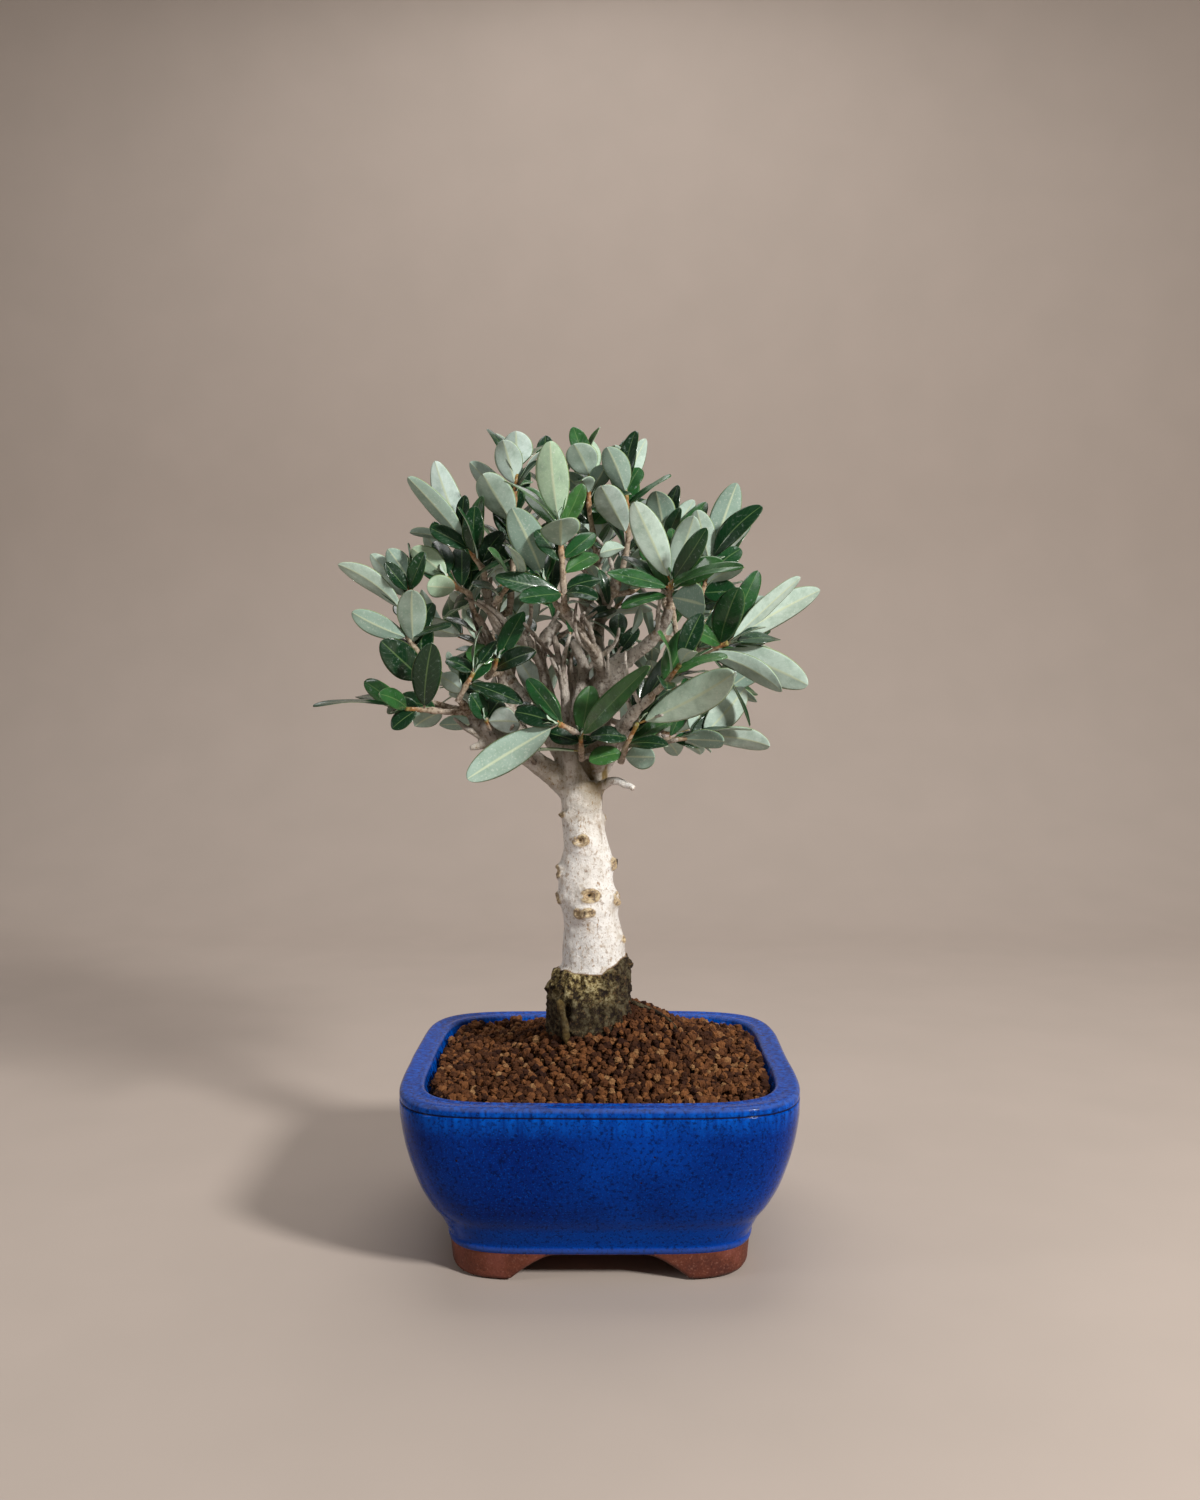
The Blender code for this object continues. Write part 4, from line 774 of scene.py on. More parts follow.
def together(shapes):
    """One shape from many (points, quads, fans): their points one after the other."""
    starts = np.cumsum([0] + [len(points) for points, _, _ in shapes[:-1]])
    return (np.vstack([points for points, _, _ in shapes]),
            np.vstack([quads + start for (_, quads, _), start in zip(shapes, starts)]),
            np.vstack([fans + start for (_, _, fans), start in zip(shapes, starts)]))


def to_mesh(name, shape, materials, slots=None, values=None, uv=None, flat=False):
    """An object from (points in mm, quads, triangles).

    slots is each face's material number, quads first. values are named numbers of the points, and uv is a
    pair of coordinates of each point.
    """
    points, quads, fans = shape
    mesh = bpy.data.meshes.new(name)
    place_m = (np.asarray(points) + (POT_MIDDLE_X, 0, 0)) * MM
    mesh.vertices.add(len(points))
    mesh.vertices.foreach_set("co", place_m.astype(np.float32).ravel())
    corners = np.concatenate([quads.ravel(), fans.ravel()]).astype(np.int32)
    sizes = np.concatenate([np.full(len(quads), 4), np.full(len(fans), 3)])
    mesh.loops.add(len(corners))
    mesh.loops.foreach_set("vertex_index", corners)
    mesh.polygons.add(len(sizes))
    mesh.polygons.foreach_set("loop_start", np.concatenate([[0], np.cumsum(sizes)[:-1]]).astype(np.int32))
    for mat in materials:
        mesh.materials.append(mat)
    if slots is not None:
        mesh.polygons.foreach_set("material_index", np.asarray(slots, np.int32))
    for key, numbers in (values or {}).items():
        layer = mesh.attributes.new(key, "FLOAT", "POINT")
        layer.data.foreach_set("value", np.asarray(numbers, np.float32))
    if uv is not None:
        layer = mesh.uv_layers.new(name="surface")
        layer.data.foreach_set("uv", np.asarray(uv, np.float32)[corners].ravel())
    mesh.update(calc_edges=True)
    mesh.polygons.foreach_set("use_smooth", np.full(len(sizes), not flat))
    mesh.validate()
    obj = bpy.data.objects.new(name, mesh)
    bpy.context.scene.collection.objects.link(obj)
    return obj


def keep(obj, slot, *nodes):
    """Puts a finished piece on its body, and in the place of the frame's nodes, which it hides. slot is not
    used.
    """
    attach(obj, BODY)
    if nodes:
        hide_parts(*nodes)


def with_radii(rows):
    """The places of a table in mm, each with its radius."""
    return np.column_stack([places(rows), [row[3] for row in rows]])


def sweep(path, radii, sides, lumps=0.0, lump_size=5.0, seed=0):
    """Rings of the given radii square to a path.

    Each ring's side is the cross product of its heading with one fixed direction, and the radius varies by
    lumps times a noise of the place.
    """
    path = np.asarray(path, float)
    steps = np.gradient(path, axis=0)
    heads = steps / np.linalg.norm(steps, axis=1)[:, None]
    side = np.cross(heads, (.31, .86, .17))
    side /= np.linalg.norm(side, axis=1)[:, None]
    up = np.cross(heads, side)
    angle = np.linspace(0, 2 * math.pi, sides, endpoint=False)
    out = side[:, None] * np.cos(angle)[:, None] + up[:, None] * np.sin(angle)[:, None]
    r = np.asarray(radii, float)[:, None, None]
    rings = path[:, None] + out * r
    if lumps:
        rings = rings + out * (r * lumps * noise(rings, lump_size, seed)[..., None])
    return rings


# Pot


def pot_half_at(height):
    """Half width of the outside at a height, a smooth curve through the profile's points."""
    curve = smooth(POT_PROFILE, 200)
    return np.interp(height, curve[:, 0], curve[:, 1])


def arch_rise(u):
    """Height of the opening between two feet at a distance from its middle, read from the model's curve."""
    t = np.linspace(0, 1, 60)
    side = ARCH_TOP_HALF + (ARCH_FOOT_HALF - ARCH_TOP_HALF) * t ** 1.5
    return np.interp(np.abs(u), side, ARCH_HEIGHT * (1 - t ** 2.2), left=ARCH_HEIGHT, right=0.0)


def arches(ring):
    """Height of the arches, which run both ways through the foot, at each point of a ring."""
    return np.maximum(arch_rise(ring[:, 0]), arch_rise(ring[:, 1]))


def inside_half_at(height):
    heights, halves = zip(*POT_INSIDE[::-1])
    return np.interp(height, heights, halves)


def square_ring(half, count=POT_FINE_SEGMENTS):
    return rounded_square(half, count)


def pot_shape():
    """The wall as rings from the middle of the underside out, up the outside, over the rim and down inside.

    Each ring is |x|^n + |y|^n = half^n. Low down its height is the arches' where that is higher, so the skirt
    ends in four feet. A row is a ring, its height, 1 where it is glazed, and how near it is to an edge where
    the glaze runs thin and is painted paler, partly as a painted reflection, below 0 in the groove that is
    painted dark as shade.
    """
    rows = []
    for share in (.04, .15, .3, .45, .6, .75, .88, .96, .995):
        ring = square_ring((FOOT_HALF - FOOT_WALL) * share)
        rows.append((ring, np.maximum(arches(ring), FLOOR_UNDER), 0, 0))
    foot_in, foot_line = FOOT_HALF - FOOT_WALL, POT_PROFILE[0][1]
    for half, lift in ((foot_in, 1.6), (foot_in + .5, .4), (foot_in + 1.6, 0.0), (foot_line - 5, 0.0),
                       (foot_line - 1.6, 0.0), (foot_line - .5, .3), (foot_line, 1.2)):
        ring = square_ring(half)
        under = arches(ring)
        rows.append((ring, under + lift * (1 - under / (ARCH_HEIGHT + 1.5)), 0, 0))
    for share in np.linspace(.06, 1, 10):
        low = square_ring(foot_line)
        under = arches(low) + 1.0
        height = under + (GLAZE_LINE - under) * share
        ring = low * (pot_half_at(height) / foot_line)[:, None]
        rows.append((ring, height, 0, 0))
    lip = GLAZE_LIP * np.sin(np.linspace(0, math.pi, 7)) ** .7
    for height, out in zip(np.linspace(GLAZE_LINE + .05, GLAZE_LINE + 2.6, 7), lip):
        rows.append((square_ring(pot_half_at(height) + out), height, 1, out / GLAZE_LIP * .6))
    for height in np.linspace(GLAZE_LINE + 3.2, GROOVE_HEIGHT - 1.6, 56):
        rows.append((square_ring(pot_half_at(height)), height, 1, 0))
    for height in np.linspace(GROOVE_HEIGHT - 1.2, POT_HEIGHT - RIM_ROUND, 14):
        dip = math.exp(-((height - GROOVE_HEIGHT) / GROOVE_WIDTH) ** 2)
        rows.append((square_ring(pot_half_at(height) - GROOVE_DEPTH * dip), height, 1, -dip))
    for turn in np.radians(np.linspace(0, 90, 8))[1:]:
        half = POT_HALF - RIM_ROUND * (1 - math.cos(turn))
        rows.append((square_ring(half), POT_HEIGHT - RIM_ROUND * (1 - math.sin(turn)), 1, math.sin(2 * turn)))
    inside = POT_INSIDE[0][1]
    for half in np.linspace(POT_HALF - RIM_ROUND - 1, inside + RIM_ROUND + 1, 6):
        rows.append((square_ring(half), POT_HEIGHT - .25 * math.sin((half - inside) / 2), 1, 0))
    for turn in np.radians(np.linspace(0, 90, 8)):
        ring = square_ring(inside + RIM_ROUND * (1 - math.sin(turn)))
        rows.append((ring, POT_HEIGHT - RIM_ROUND * (1 - math.cos(turn)), 1, math.sin(2 * turn) * .7))
    for height in np.linspace(POT_HEIGHT - RIM_ROUND - 1, FLOOR_TOP, 16):
        rows.append((square_ring(inside_half_at(height)), height, int(height > GLAZED_INSIDE), 0))
    for share in (.9, .7, .5, .3, .1, .02):
        rows.append((square_ring(POT_INSIDE[-1][1] * share), FLOOR_TOP, 0, 0))
    rings = np.stack([np.column_stack([ring, np.broadcast_to(z, len(ring))]) for ring, z, _, _ in rows])
    glazed = np.repeat([row[2] for row in rows], POT_FINE_SEGMENTS)
    edge = np.repeat([row[3] for row in rows], POT_FINE_SEGMENTS)
    wobble = noise(rings, 34, 5)[..., None] * POT_WOBBLE + noise(rings, 11, 6)[..., None] * POT_WOBBLE * .3
    away = rings * (1, 1, 0)
    length = np.maximum(np.linalg.norm(away, axis=-1, keepdims=True), 1)
    rings = rings + away / length * wobble * np.clip(rings[..., 2:] / 20, 0, 1)
    return skin(rings), np.append(glazed, (0, 0)), np.append(edge, (0, 0))


# Soil


def bed_shape():
    """The bed under the loose granules: rings up the pot's inside, then in over the mound, a little lower
    than the granules' middles."""
    rings = []
    for share in (.02, .4, .8):
        half = (POT_INSIDE[-1][1] - SOIL_GAP_TO_POT) * share
        rings.append(level(square_ring(half, BED_SEGMENTS), FLOOR_TOP + GAP))
    for height in np.linspace(FLOOR_TOP + GAP, SOIL_EDGE_HEIGHT - BED_DROP, 9):
        half = inside_half_at(height) - SOIL_GAP_TO_POT
        rings.append(level(square_ring(half, BED_SEGMENTS), height))
    outer = rings[-1]
    for share in np.linspace(.97, .02, 34):
        ring = outer.copy()
        ring[:, :2] *= share
        rough = noise(ring, 2.4, 3) * BED_ROUGHNESS
        ring[:, 2] = soil_height(ring[:, 0], ring[:, 1]) - BED_DROP + rough
        rings.append(ring)
    return skin(np.stack(rings))


def granule_shape():
    """One crumb: a ball of 3 rings of 6 points and two poles, of radius 1."""
    lift = np.radians([-48, 0, 48])
    turn = np.radians(np.arange(6) * 60)
    rings = [np.column_stack([np.cos(turn + .5 * k) * math.cos(a), np.sin(turn + .5 * k) * math.cos(a),
                              np.full(6, math.sin(a))]) for k, a in enumerate(lift)]
    points, quads, fans = skin(np.stack(rings))
    points[-2:] = (0, 0, -1), (0, 0, 1)
    return points, quads, fans


def granule_places(rng, step):
    """Middles and radii of the granules: in each layer a triangular grid inside the pot's outline, each
    granule moved at random, and in the upper layer some left out."""
    middles, radii = [], []
    trunk_x, trunk_y = place(*TRUNK[0][:3])[:2]
    half = inside_half_at(SOIL_EDGE_HEIGHT) - GRANULES_FROM_WALL
    for drop, share in GRANULE_LAYERS:
        columns = int(GRANULE_GRID / step)
        i, j = np.meshgrid(np.arange(-columns, columns), np.arange(-columns, columns))
        x = (i + .5 * (j % 2)) * step + rng.uniform(-.45, .45, i.shape) * step
        y = j * step * .87 + rng.uniform(-.45, .45, i.shape) * step
        inside = (np.abs(x / half) ** POT_SQUARENESS + np.abs(y / half) ** POT_SQUARENESS) < 1
        inside &= np.hypot(x - trunk_x, y - trunk_y) > PLUG_RADIUS - GRANULES_IN_PLUG
        inside &= rng.uniform(size=x.shape) < share
        x, y = x[inside], y[inside]
        r = GRANULE_RADIUS * step * rng.uniform(.72, 1.28, len(x))
        patch = noise(np.column_stack([x, y, x * 0]), 9, 8) * .8
        z = soil_height(x, y) - drop + rng.uniform(-.6, .6, len(x)) + patch
        middles.append(np.column_stack([x, y, z]))
        radii.append(r)
    return np.vstack(middles), np.concatenate(radii)


def granules(rng, middles, radii):
    """Every granule is the same crumb, stretched, turned and dented by its own random numbers."""
    ball, quads, fans = granule_shape()
    n, m = len(middles), len(ball)
    stretch = rng.uniform(.78, 1.15, (n, 1, 3))
    dents = rng.uniform(.78, 1.16, (n, m, 1))
    local = ball[None] * dents * stretch
    a, b = rng.uniform(0, 2 * math.pi, (2, n))
    ca, sa, cb, sb = np.cos(a), np.sin(a), np.cos(b), np.sin(b)
    zero, one = np.zeros(n), np.ones(n)
    turn_z = np.stack([ca, -sa, zero, sa, ca, zero, zero, zero, one], 1).reshape(n, 3, 3)
    turn_x = np.stack([one, zero, zero, zero, cb, -sb, zero, sb, cb], 1).reshape(n, 3, 3)
    turned = np.einsum("nij,nmj->nmi", turn_z @ turn_x, local)
    points = middles[:, None] + turned * radii[:, None, None]
    return copies(points, quads, fans), np.repeat(rng.uniform(0, 1, n), m)


# Trunk and limbs


def trunk_at(down, column):
    """A column of the trunk's table at a height of the front view: 0 is the place across, 3 the radius."""
    return float(np.interp(down, [row[1] for row in TRUNK][::-1], [row[column] for row in TRUNK][::-1]))


def knot_places():
    """Middle, outward direction, size, rise and hole of each knot: it sits on the trunk's skin at an angle
    round from the front and at a height of the front view."""
    rows = []
    for angle, down, size, rise, hole in KNOTS:
        axis = place(trunk_at(down, 0), down, 0)
        a = math.radians(angle)
        out = np.array([math.sin(a), -math.cos(a), 0.0])
        rows.append((axis + out * trunk_at(down, 3), out, size, rise, hole))
    return rows


def wood_paths(stems):
    """Places and radii of all the wood: trunk, limbs, stubs, spurs and the root ridge, each with its number
    of sides and its age, 0 for the trunk to 1 for the youngest wood."""
    line = with_radii(TRUNK)
    foot = line[0].copy()
    foot[2] = TRUNK_FOOT
    paths = [(smooth(np.vstack([foot, line]), 90), 44, 0.0)]
    for rows in LIMBS.values():
        thick = rows[0][3] > THICK_LIMB
        paths.append((smooth(with_radii(rows), 16 * len(rows)), 18, .5 if thick else .65))
    for rows in STUBS.values():
        paths.append((smooth(with_radii(rows) * (1, 1, 1, STUB_SHARE), 8 * len(rows)), 14, .42))
    paths.append((smooth(with_radii(ROOT_RIDGE), 24), 12, 0.0))
    for start, end, root_radius in stems:
        share = np.linspace(0, 1, 8)[:, None]
        thin = root_radius + (STEM_BASE_RADIUS * 1.05 - root_radius) * share
        paths.append((np.hstack([start + (end - start) * share, thin]), 12, .8))
    return paths


def fused(shape, voxel):
    """One skin round closed shapes that overlap: the Remesh modifier samples them on cubes of the voxel's
    size, and Smooth takes the cubes' steps off. Returns points in mm, normals and quads."""
    obj = to_mesh("wood_parts", shape, [])
    remesh = obj.modifiers.new("skin", "REMESH")
    remesh.mode = "VOXEL"
    remesh.voxel_size = voxel * MM
    soften = obj.modifiers.new("soften", "SMOOTH")
    soften.factor = .5
    soften.iterations = SKIN_ROUNDS
    mesh = bpy.data.meshes.new_from_object(obj.evaluated_get(bpy.context.evaluated_depsgraph_get()))
    points = np.empty(len(mesh.vertices) * 3, np.float32)
    mesh.vertices.foreach_get("co", points)
    normals = np.empty(len(mesh.vertices) * 3, np.float32)
    mesh.vertices.foreach_get("normal", normals)
    corners = np.empty(len(mesh.loops), np.int32)
    mesh.loops.foreach_get("vertex_index", corners)
    bpy.data.objects.remove(obj, do_unlink=True)
    bpy.data.meshes.remove(mesh)
    points = points.reshape(-1, 3) / MM - (POT_MIDDLE_X, 0, 0)
    return points, normals.reshape(-1, 3), corners.reshape(-1, 4).astype(int)


def nearest_number(points, places_with, numbers):
    """For each point the number of the nearest of some places, found in blocks of points."""
    out = np.empty(len(points))
    for start in range(0, len(points), 4000):
        block = points[start:start + 4000]
        far = ((block[:, None] - places_with[None]) ** 2).sum(-1)
        out[start:start + 4000] = numbers[far.argmin(1)]
    return out


def cork_line(points):
    """Height of the border between cork and bark: level on the left and in front, rising to the right."""
    line = places(TRUNK)
    middle = np.interp(points[:, 2], line[:, 2], line[:, 0])
    right = np.clip((points[:, 0] - middle - 3) / 9, 0, 1.3)
    return CORK_TOP + CORK_RISE * right + layered(points, CORK_BORDER)


def trunk_surface(stems, voxel):
    """The fused wood with its relief: the noise of the bark, the cork's lumps below its border, and knots.

    A knot is a ring that stands up, h exp(-((d - r) / w)^2), round a hole, -g exp(-(d / s)^2), at the
    distance d, on a broad swelling.
    """
    paths = wood_paths(stems)
    shapes = [skin(sweep(path[:, :3], path[:, 3], sides)) for path, sides, _ in paths]
    points, normals, quads = fused(together(shapes), voxel)
    samples = np.vstack([path[::2, :3] for path, _, _ in paths])
    ages = np.concatenate([np.full(len(path[::2]), age) for path, _, age in paths])
    age = nearest_number(points, samples, ages)
    on_trunk = (age < .1) & (points[:, 2] < CROTCH_HEIGHT + 6)
    above_crotch = (points[:, 2] - CROTCH_HEIGHT + 4 + 7 * noise(points, 8, 38)) / WHITE_LIMBS
    age = age * np.clip(above_crotch, .08, 1)
    below = np.clip((cork_line(points) - points[:, 2]) / .9, 0, 1) * on_trunk
    flakes = 1 - 2.6 * np.abs(noise(points * (1, 1, .7), 4.2, 31))
    shoulder = np.exp(-((points[:, 2] - CORK_TOP + 5) / 4.5) ** 2) * np.clip(-(points[:, 0] + 6) / 8, 0, 1)
    relief = below * (.4 + 1.1 * flakes + layered(points, CORK_RELIEF) + 1.5 * shoulder)
    relief += (1 - below) * on_trunk * layered(points, BARK_RELIEF)
    relief += (1 - on_trunk) * layered(points, LIMB_RELIEF)
    ridge = smooth(places(ROOT_RIDGE), 60)
    from_ridge = np.sqrt(((points[:, None] - ridge[None, ::3]) ** 2).sum(-1)).min(1)
    root = np.clip(1.3 - from_ridge / 1.3, 0, 1) * on_trunk
    relief *= 1 - .45 * root
    knot = np.zeros(len(points))
    for middle, out, size, rise, hole in knot_places():
        away = points - middle
        along_out = away @ out
        flat = away - along_out[:, None] * out
        far = np.sqrt((flat[:, :2] ** 2).sum(1) + (flat[:, 2] * KNOT_FLATTER) ** 2)
        near = np.exp(-(along_out / KNOT_DEPTH) ** 2) * on_trunk
        uneven = 1 + .9 * noise(points, 1.7, 37)
        ring = np.exp(-((far - size * KNOT_RING_RADIUS) / (size * KNOT_RING_WIDTH)) ** 2) * near * uneven
        pit = np.exp(-(far / (size * KNOT_HOLE_RADIUS)) ** 2) * near
        swell = np.exp(-(far / (size * KNOT_SWELLING_RADIUS)) ** 2) * near
        relief += rise * (ring * KNOT_RING_RISE + swell * KNOT_SWELLING_RISE) - hole * pit
        knot = np.maximum(knot, np.clip(ring * 1.1 + pit * 2, 0, 2))
    points = points + normals * relief[:, None]
    fans = np.empty((0, 3), int)
    return (points, quads, fans), {"cork": below, "age": age, "knot": knot, "root": root}


def branchlets(rng, crown, leaves_each):
    """The fine grey twigs inside the crown and their small leaves.

    Each twig leaves a limb at a random share of its length, heads up and out, bends a little, swells at every
    joint, and bears leaves where the crown has room, all behind the plane of the trunk.
    """
    shapes, ages, leaves = [], [], []
    names = list(LIMBS)
    for k in range(BRANCHLETS):
        line = places(LIMBS[names[k % len(names)]])
        start, head = along(line, rng.uniform(.25, .92))
        sway = rng.normal(0, .55, 3) * (1, 1, .35)
        way = unit(head + sway + np.array([0, 0, .35]))
        reach = rng.uniform(*BRANCHLET_REACH)
        bend = unit(np.cross(way, rng.normal(size=3))) * reach * rng.uniform(.06, .2)
        t = np.linspace(0, 1, BRANCHLET_POINTS)[:, None]
        path = start + way * reach * t + bend * 4 * t * (1 - t)
        joints = 1 + .35 * np.exp(-((t[:, 0] * 5) % 1 - .5) ** 2 / .02)
        start_radius, tip_radius = (rng.uniform(*limits) for limits in BRANCHLET_RADII)
        radii = np.linspace(start_radius, tip_radius, BRANCHLET_POINTS) * joints
        shape = skin(sweep(path, radii, 9, .16, 3.0, 50 + k))
        shapes.append(shape)
        ages.append(np.full(len(shape[0]), rng.uniform(.35, .7)))
        for pair in range(leaves_each):
            base, ahead = along(path, 1 - .28 * (pair // 2) - .02)
            out = unit(np.cross(ahead, rng.normal(size=3)))
            span = rng.uniform(*INNER_LEAF_SPAN)
            tip = base + unit(ahead * .7 + out + np.array([0, .25, .2])) * span
            if tip[1] < 2 or tip[1] > CROWN_DEPTH or not seen_inside_outline(tip):
                continue
            width = span * rng.uniform(*INNER_LEAF_WIDTHS)
            leaf = crown.try_leaf("inner", base, tip, ahead + np.array([0, 0, FACE_LIFT]), width)
            if leaf is not None:
                leaves.append(leaf)
    return together(shapes), np.concatenate(ages), leaves


# Leaves


def leaf_outline(t):
    """Share of the full width at a share of the length: a thin stalk, then sin(pi u^1.1)^fullness with u from
    the stalk's end to the tip, so that the leaf is widest near its middle and has a blunt end."""
    u = np.clip((t - STALK_SHARE) / (1 - STALK_SHARE), 0, 1)
    return np.sin(math.pi * u ** 1.1) ** LEAF_FULLNESS


def leaves_mesh(rows, rng):
    """All leaves of one shoot. Along each leaf, at a share t of its length, the section is a flat loop of 16
    points whose upper half runs from the left edge to the right one, and whose lower half runs back.

    The middle line is base + t (tip - base), raised along the normal by arch 4 t (1 - t), bent to the side by
    bend 4 t (1 - t), and the section is turned round it by twist (t - 1/2). At a share s of the half width
    the blade is raised by fold |s|^1.6, and its edges are wavy. The stalk is round.
    """
    base, tip, normal, width = (np.array([row[k] for row in rows], float) for k in range(4))
    n = len(rows)
    axis = tip - base
    length = np.linalg.norm(axis, axis=1, keepdims=True)
    axis = axis / length
    normal = normal - axis * (normal * axis).sum(1, keepdims=True)
    normal /= np.linalg.norm(normal, axis=1, keepdims=True)
    side = np.cross(axis, normal)
    t = LEAF_STEPS
    half = np.maximum(leaf_outline(t)[None] * width[:, None] / 2, STALK_RADIUS)
    half[:, -1] = LEAF_TIP_HALF
    arch = LEAF_ARCH * rng.uniform(*LEAF_ARCHES, (n, 1))
    bend = rng.uniform(-LEAF_BEND, LEAF_BEND, (n, 1))
    twist = rng.uniform(-LEAF_TWIST, LEAF_TWIST, (n, 1))
    fold = rng.uniform(*LEAF_FOLDS, (n, 1, 1))
    wave = rng.uniform(0, 2 * math.pi, (n, 1, 1))
    middle = (base[:, None] + axis[:, None] * (length * t)[..., None]
              + normal[:, None] * (length * arch * 4 * t * (1 - t))[..., None]
              + side[:, None] * (length * bend * 4 * t * (1 - t))[..., None])
    turn = (twist * (t - .5) * np.clip(t * 5, 0, 1))[..., None]
    out = side[:, None] * np.cos(turn) + normal[:, None] * np.sin(turn)
    up = normal[:, None] * np.cos(turn) - side[:, None] * np.sin(turn)
    s = SECTION_ACROSS
    upper = SECTION_SIDE > 0
    t_rows = t[None, :, None]
    stalk = np.clip(1 - (t_rows - STALK_SHARE * .6) / .08, 0, 1)
    thick = np.where(upper, .5, -.5) * LEAF_FINE_THICKNESS * np.sqrt(np.clip(1 - s ** 4, 0, 1))
    rib = np.exp(-(s / RIB_WIDTH) ** 2) * np.where(upper, RIB_ABOVE, RIB_BELOW) * (1 - .6 * t)[:, None]
    waves = EDGE_WAVE * np.sin(t_rows * 9.5 + wave + 1.6 * np.sign(s)) * s ** 2 * np.clip(t_rows * 3, 0, 1)
    blade_rise = (thick + rib)[None] + fold * half[..., None] * np.abs(s) ** 1.6 + waves
    round_rise = np.where(upper, 1, -1) * np.sqrt(np.clip(1 - s ** 2, 0, 1)) * half[..., None]
    rise = blade_rise * (1 - stalk) + round_rise * stalk
    rings = (middle[:, :, None] + out[:, :, None] * (half[..., None, None] * s[None, None, :, None])
             + up[:, :, None] * rise[..., None])
    _, quads, fans = skin(rings[0])
    ends = np.stack([rings[:, 0].mean(1), rings[:, -1].mean(1)], 1)
    points = np.concatenate([rings.reshape(n, -1, 3), ends], 1)
    count = len(s)
    quad_slots = np.tile(np.where(np.arange(count) < UPPER_FACES, 0, 1), len(t) - 1)
    quad_slots = np.where(np.repeat(t[:-1] < STALK_SHARE * .8, count), 2, quad_slots)
    slots = np.concatenate([np.tile(quad_slots, n), np.full(n * len(fans), 2)])
    uv = np.stack(np.broadcast_arrays(s[None, :] * .5 + .5, t[:, None]), -1).reshape(-1, 2)
    uv = np.vstack([uv, (.5, 0), (.5, 1)])
    tone = np.repeat(rng.uniform(0, 1, n), points.shape[1])
    return copies(points, quads, fans), slots, np.tile(uv, (n, 1)), tone


def bud_rows(stem):
    """Two small young leaves that stand up at a shoot's tip."""
    end, head = stem[-1], unit(stem[-1] - stem[-2])
    side = unit(np.cross(head, (.2, .9, .1)))
    base, tip = end - head * .5, end + head * 5.5
    return [(base, tip + side * 1.6 * sign, side * -sign + head * .2, 2.1) for sign in (1, -1)]


def stem_shape(line):
    """The shoot's stem, from a little inside its spur to its tip, swollen at each pair of leaves."""
    start = line[0] - unit(line[1] - line[0]) * 1.2
    path = smooth(np.vstack([start, line[1:]]), 40)
    t = np.linspace(0, 1, 40)
    run = np.linalg.norm(np.diff(line, axis=0), axis=1).sum() / PAIR_SPACING
    joints = 1 + .28 * np.exp(-(((t * run) % 1) - .5) ** 2 / .015)
    radii = (STEM_BASE_RADIUS * 1.02 + (STEM_TIP_RADIUS - STEM_BASE_RADIUS) * t) * joints
    radii[-1] *= .5
    return skin(sweep(path, radii, 10, .12, 2.5, 71)), np.append(np.repeat(t, 10), (0, 1))


# Materials


def linear(code):
    """An sRGB hex colour as linear red, green and blue."""
    values = [int(code[i:i + 2], 16) / 255 for i in (1, 3, 5)]
    return tuple(v / 12.92 if v <= .04045 else ((v + .055) / 1.055) ** 2.4 for v in values)


def add(tree, kind, inputs, out=0, stops=(), **settings):
    """Adds a shader node with its settings and links, and returns one of its outputs.

    inputs maps a socket's name or number to a value, to an sRGB hex colour, or to the output that is linked
    to it. stops are a ramp's places and their colours.
    """
    node = tree.nodes.new("ShaderNode" + kind)
    for key, value in settings.items():
        setattr(node, key, value)
    for key, value in inputs.items():
        if isinstance(value, bpy.types.NodeSocket):
            tree.links.new(value, node.inputs[key])
        else:
            node.inputs[key].default_value = (*linear(value), 1) if isinstance(value, str) else value
    for k, (position, value) in enumerate(stops):
        points = node.color_ramp.elements
        point = points[k] if k < len(points) else points.new(position)
        point.position = position
        point.color = (*linear(value), 1) if isinstance(value, str) else value
    return node.outputs[out]


def new_material(name, **constants):
    """A Principled material with its constant values, what adds nodes to it, its shader and coordinates."""
    mat = bpy.data.materials.new(name)
    mat.use_nodes = True
    tree = mat.node_tree
    shader = tree.nodes["Principled BSDF"]
    for key, value in constants.items():
        shader.inputs[key.replace("_", " ")].default_value = value
    put = functools.partial(add, tree)
    return mat, put, shader, put("TexCoord", {}, out="Object")


def wire(mat, shader, **links):
    """Links outputs to the shader's sockets."""
    for key, socket in links.items():
        mat.node_tree.links.new(socket, shader.inputs[key.replace("_", " ")])
    return mat


def per(size):
    """Texture scale for a pattern of this many millimetres on coordinates in metres."""
    return 1 / (size * MM)


MIX = {"out": 2, "data_type": "RGBA"}


def lay(put, base, *rows):
    """Lays colours over a base, one after the other.

    Each row is a source, its values at which the colour begins to show and shows in full, the colour's
    strength there, and the colour.
    """
    for source, begins, full, strength, colour in rows:
        mask = put("MapRange", {0: source, 1: begins, 2: full, 4: strength})
        base = put("Mix", {0: mask, 6: base, 7: colour}, **MIX)
    return base


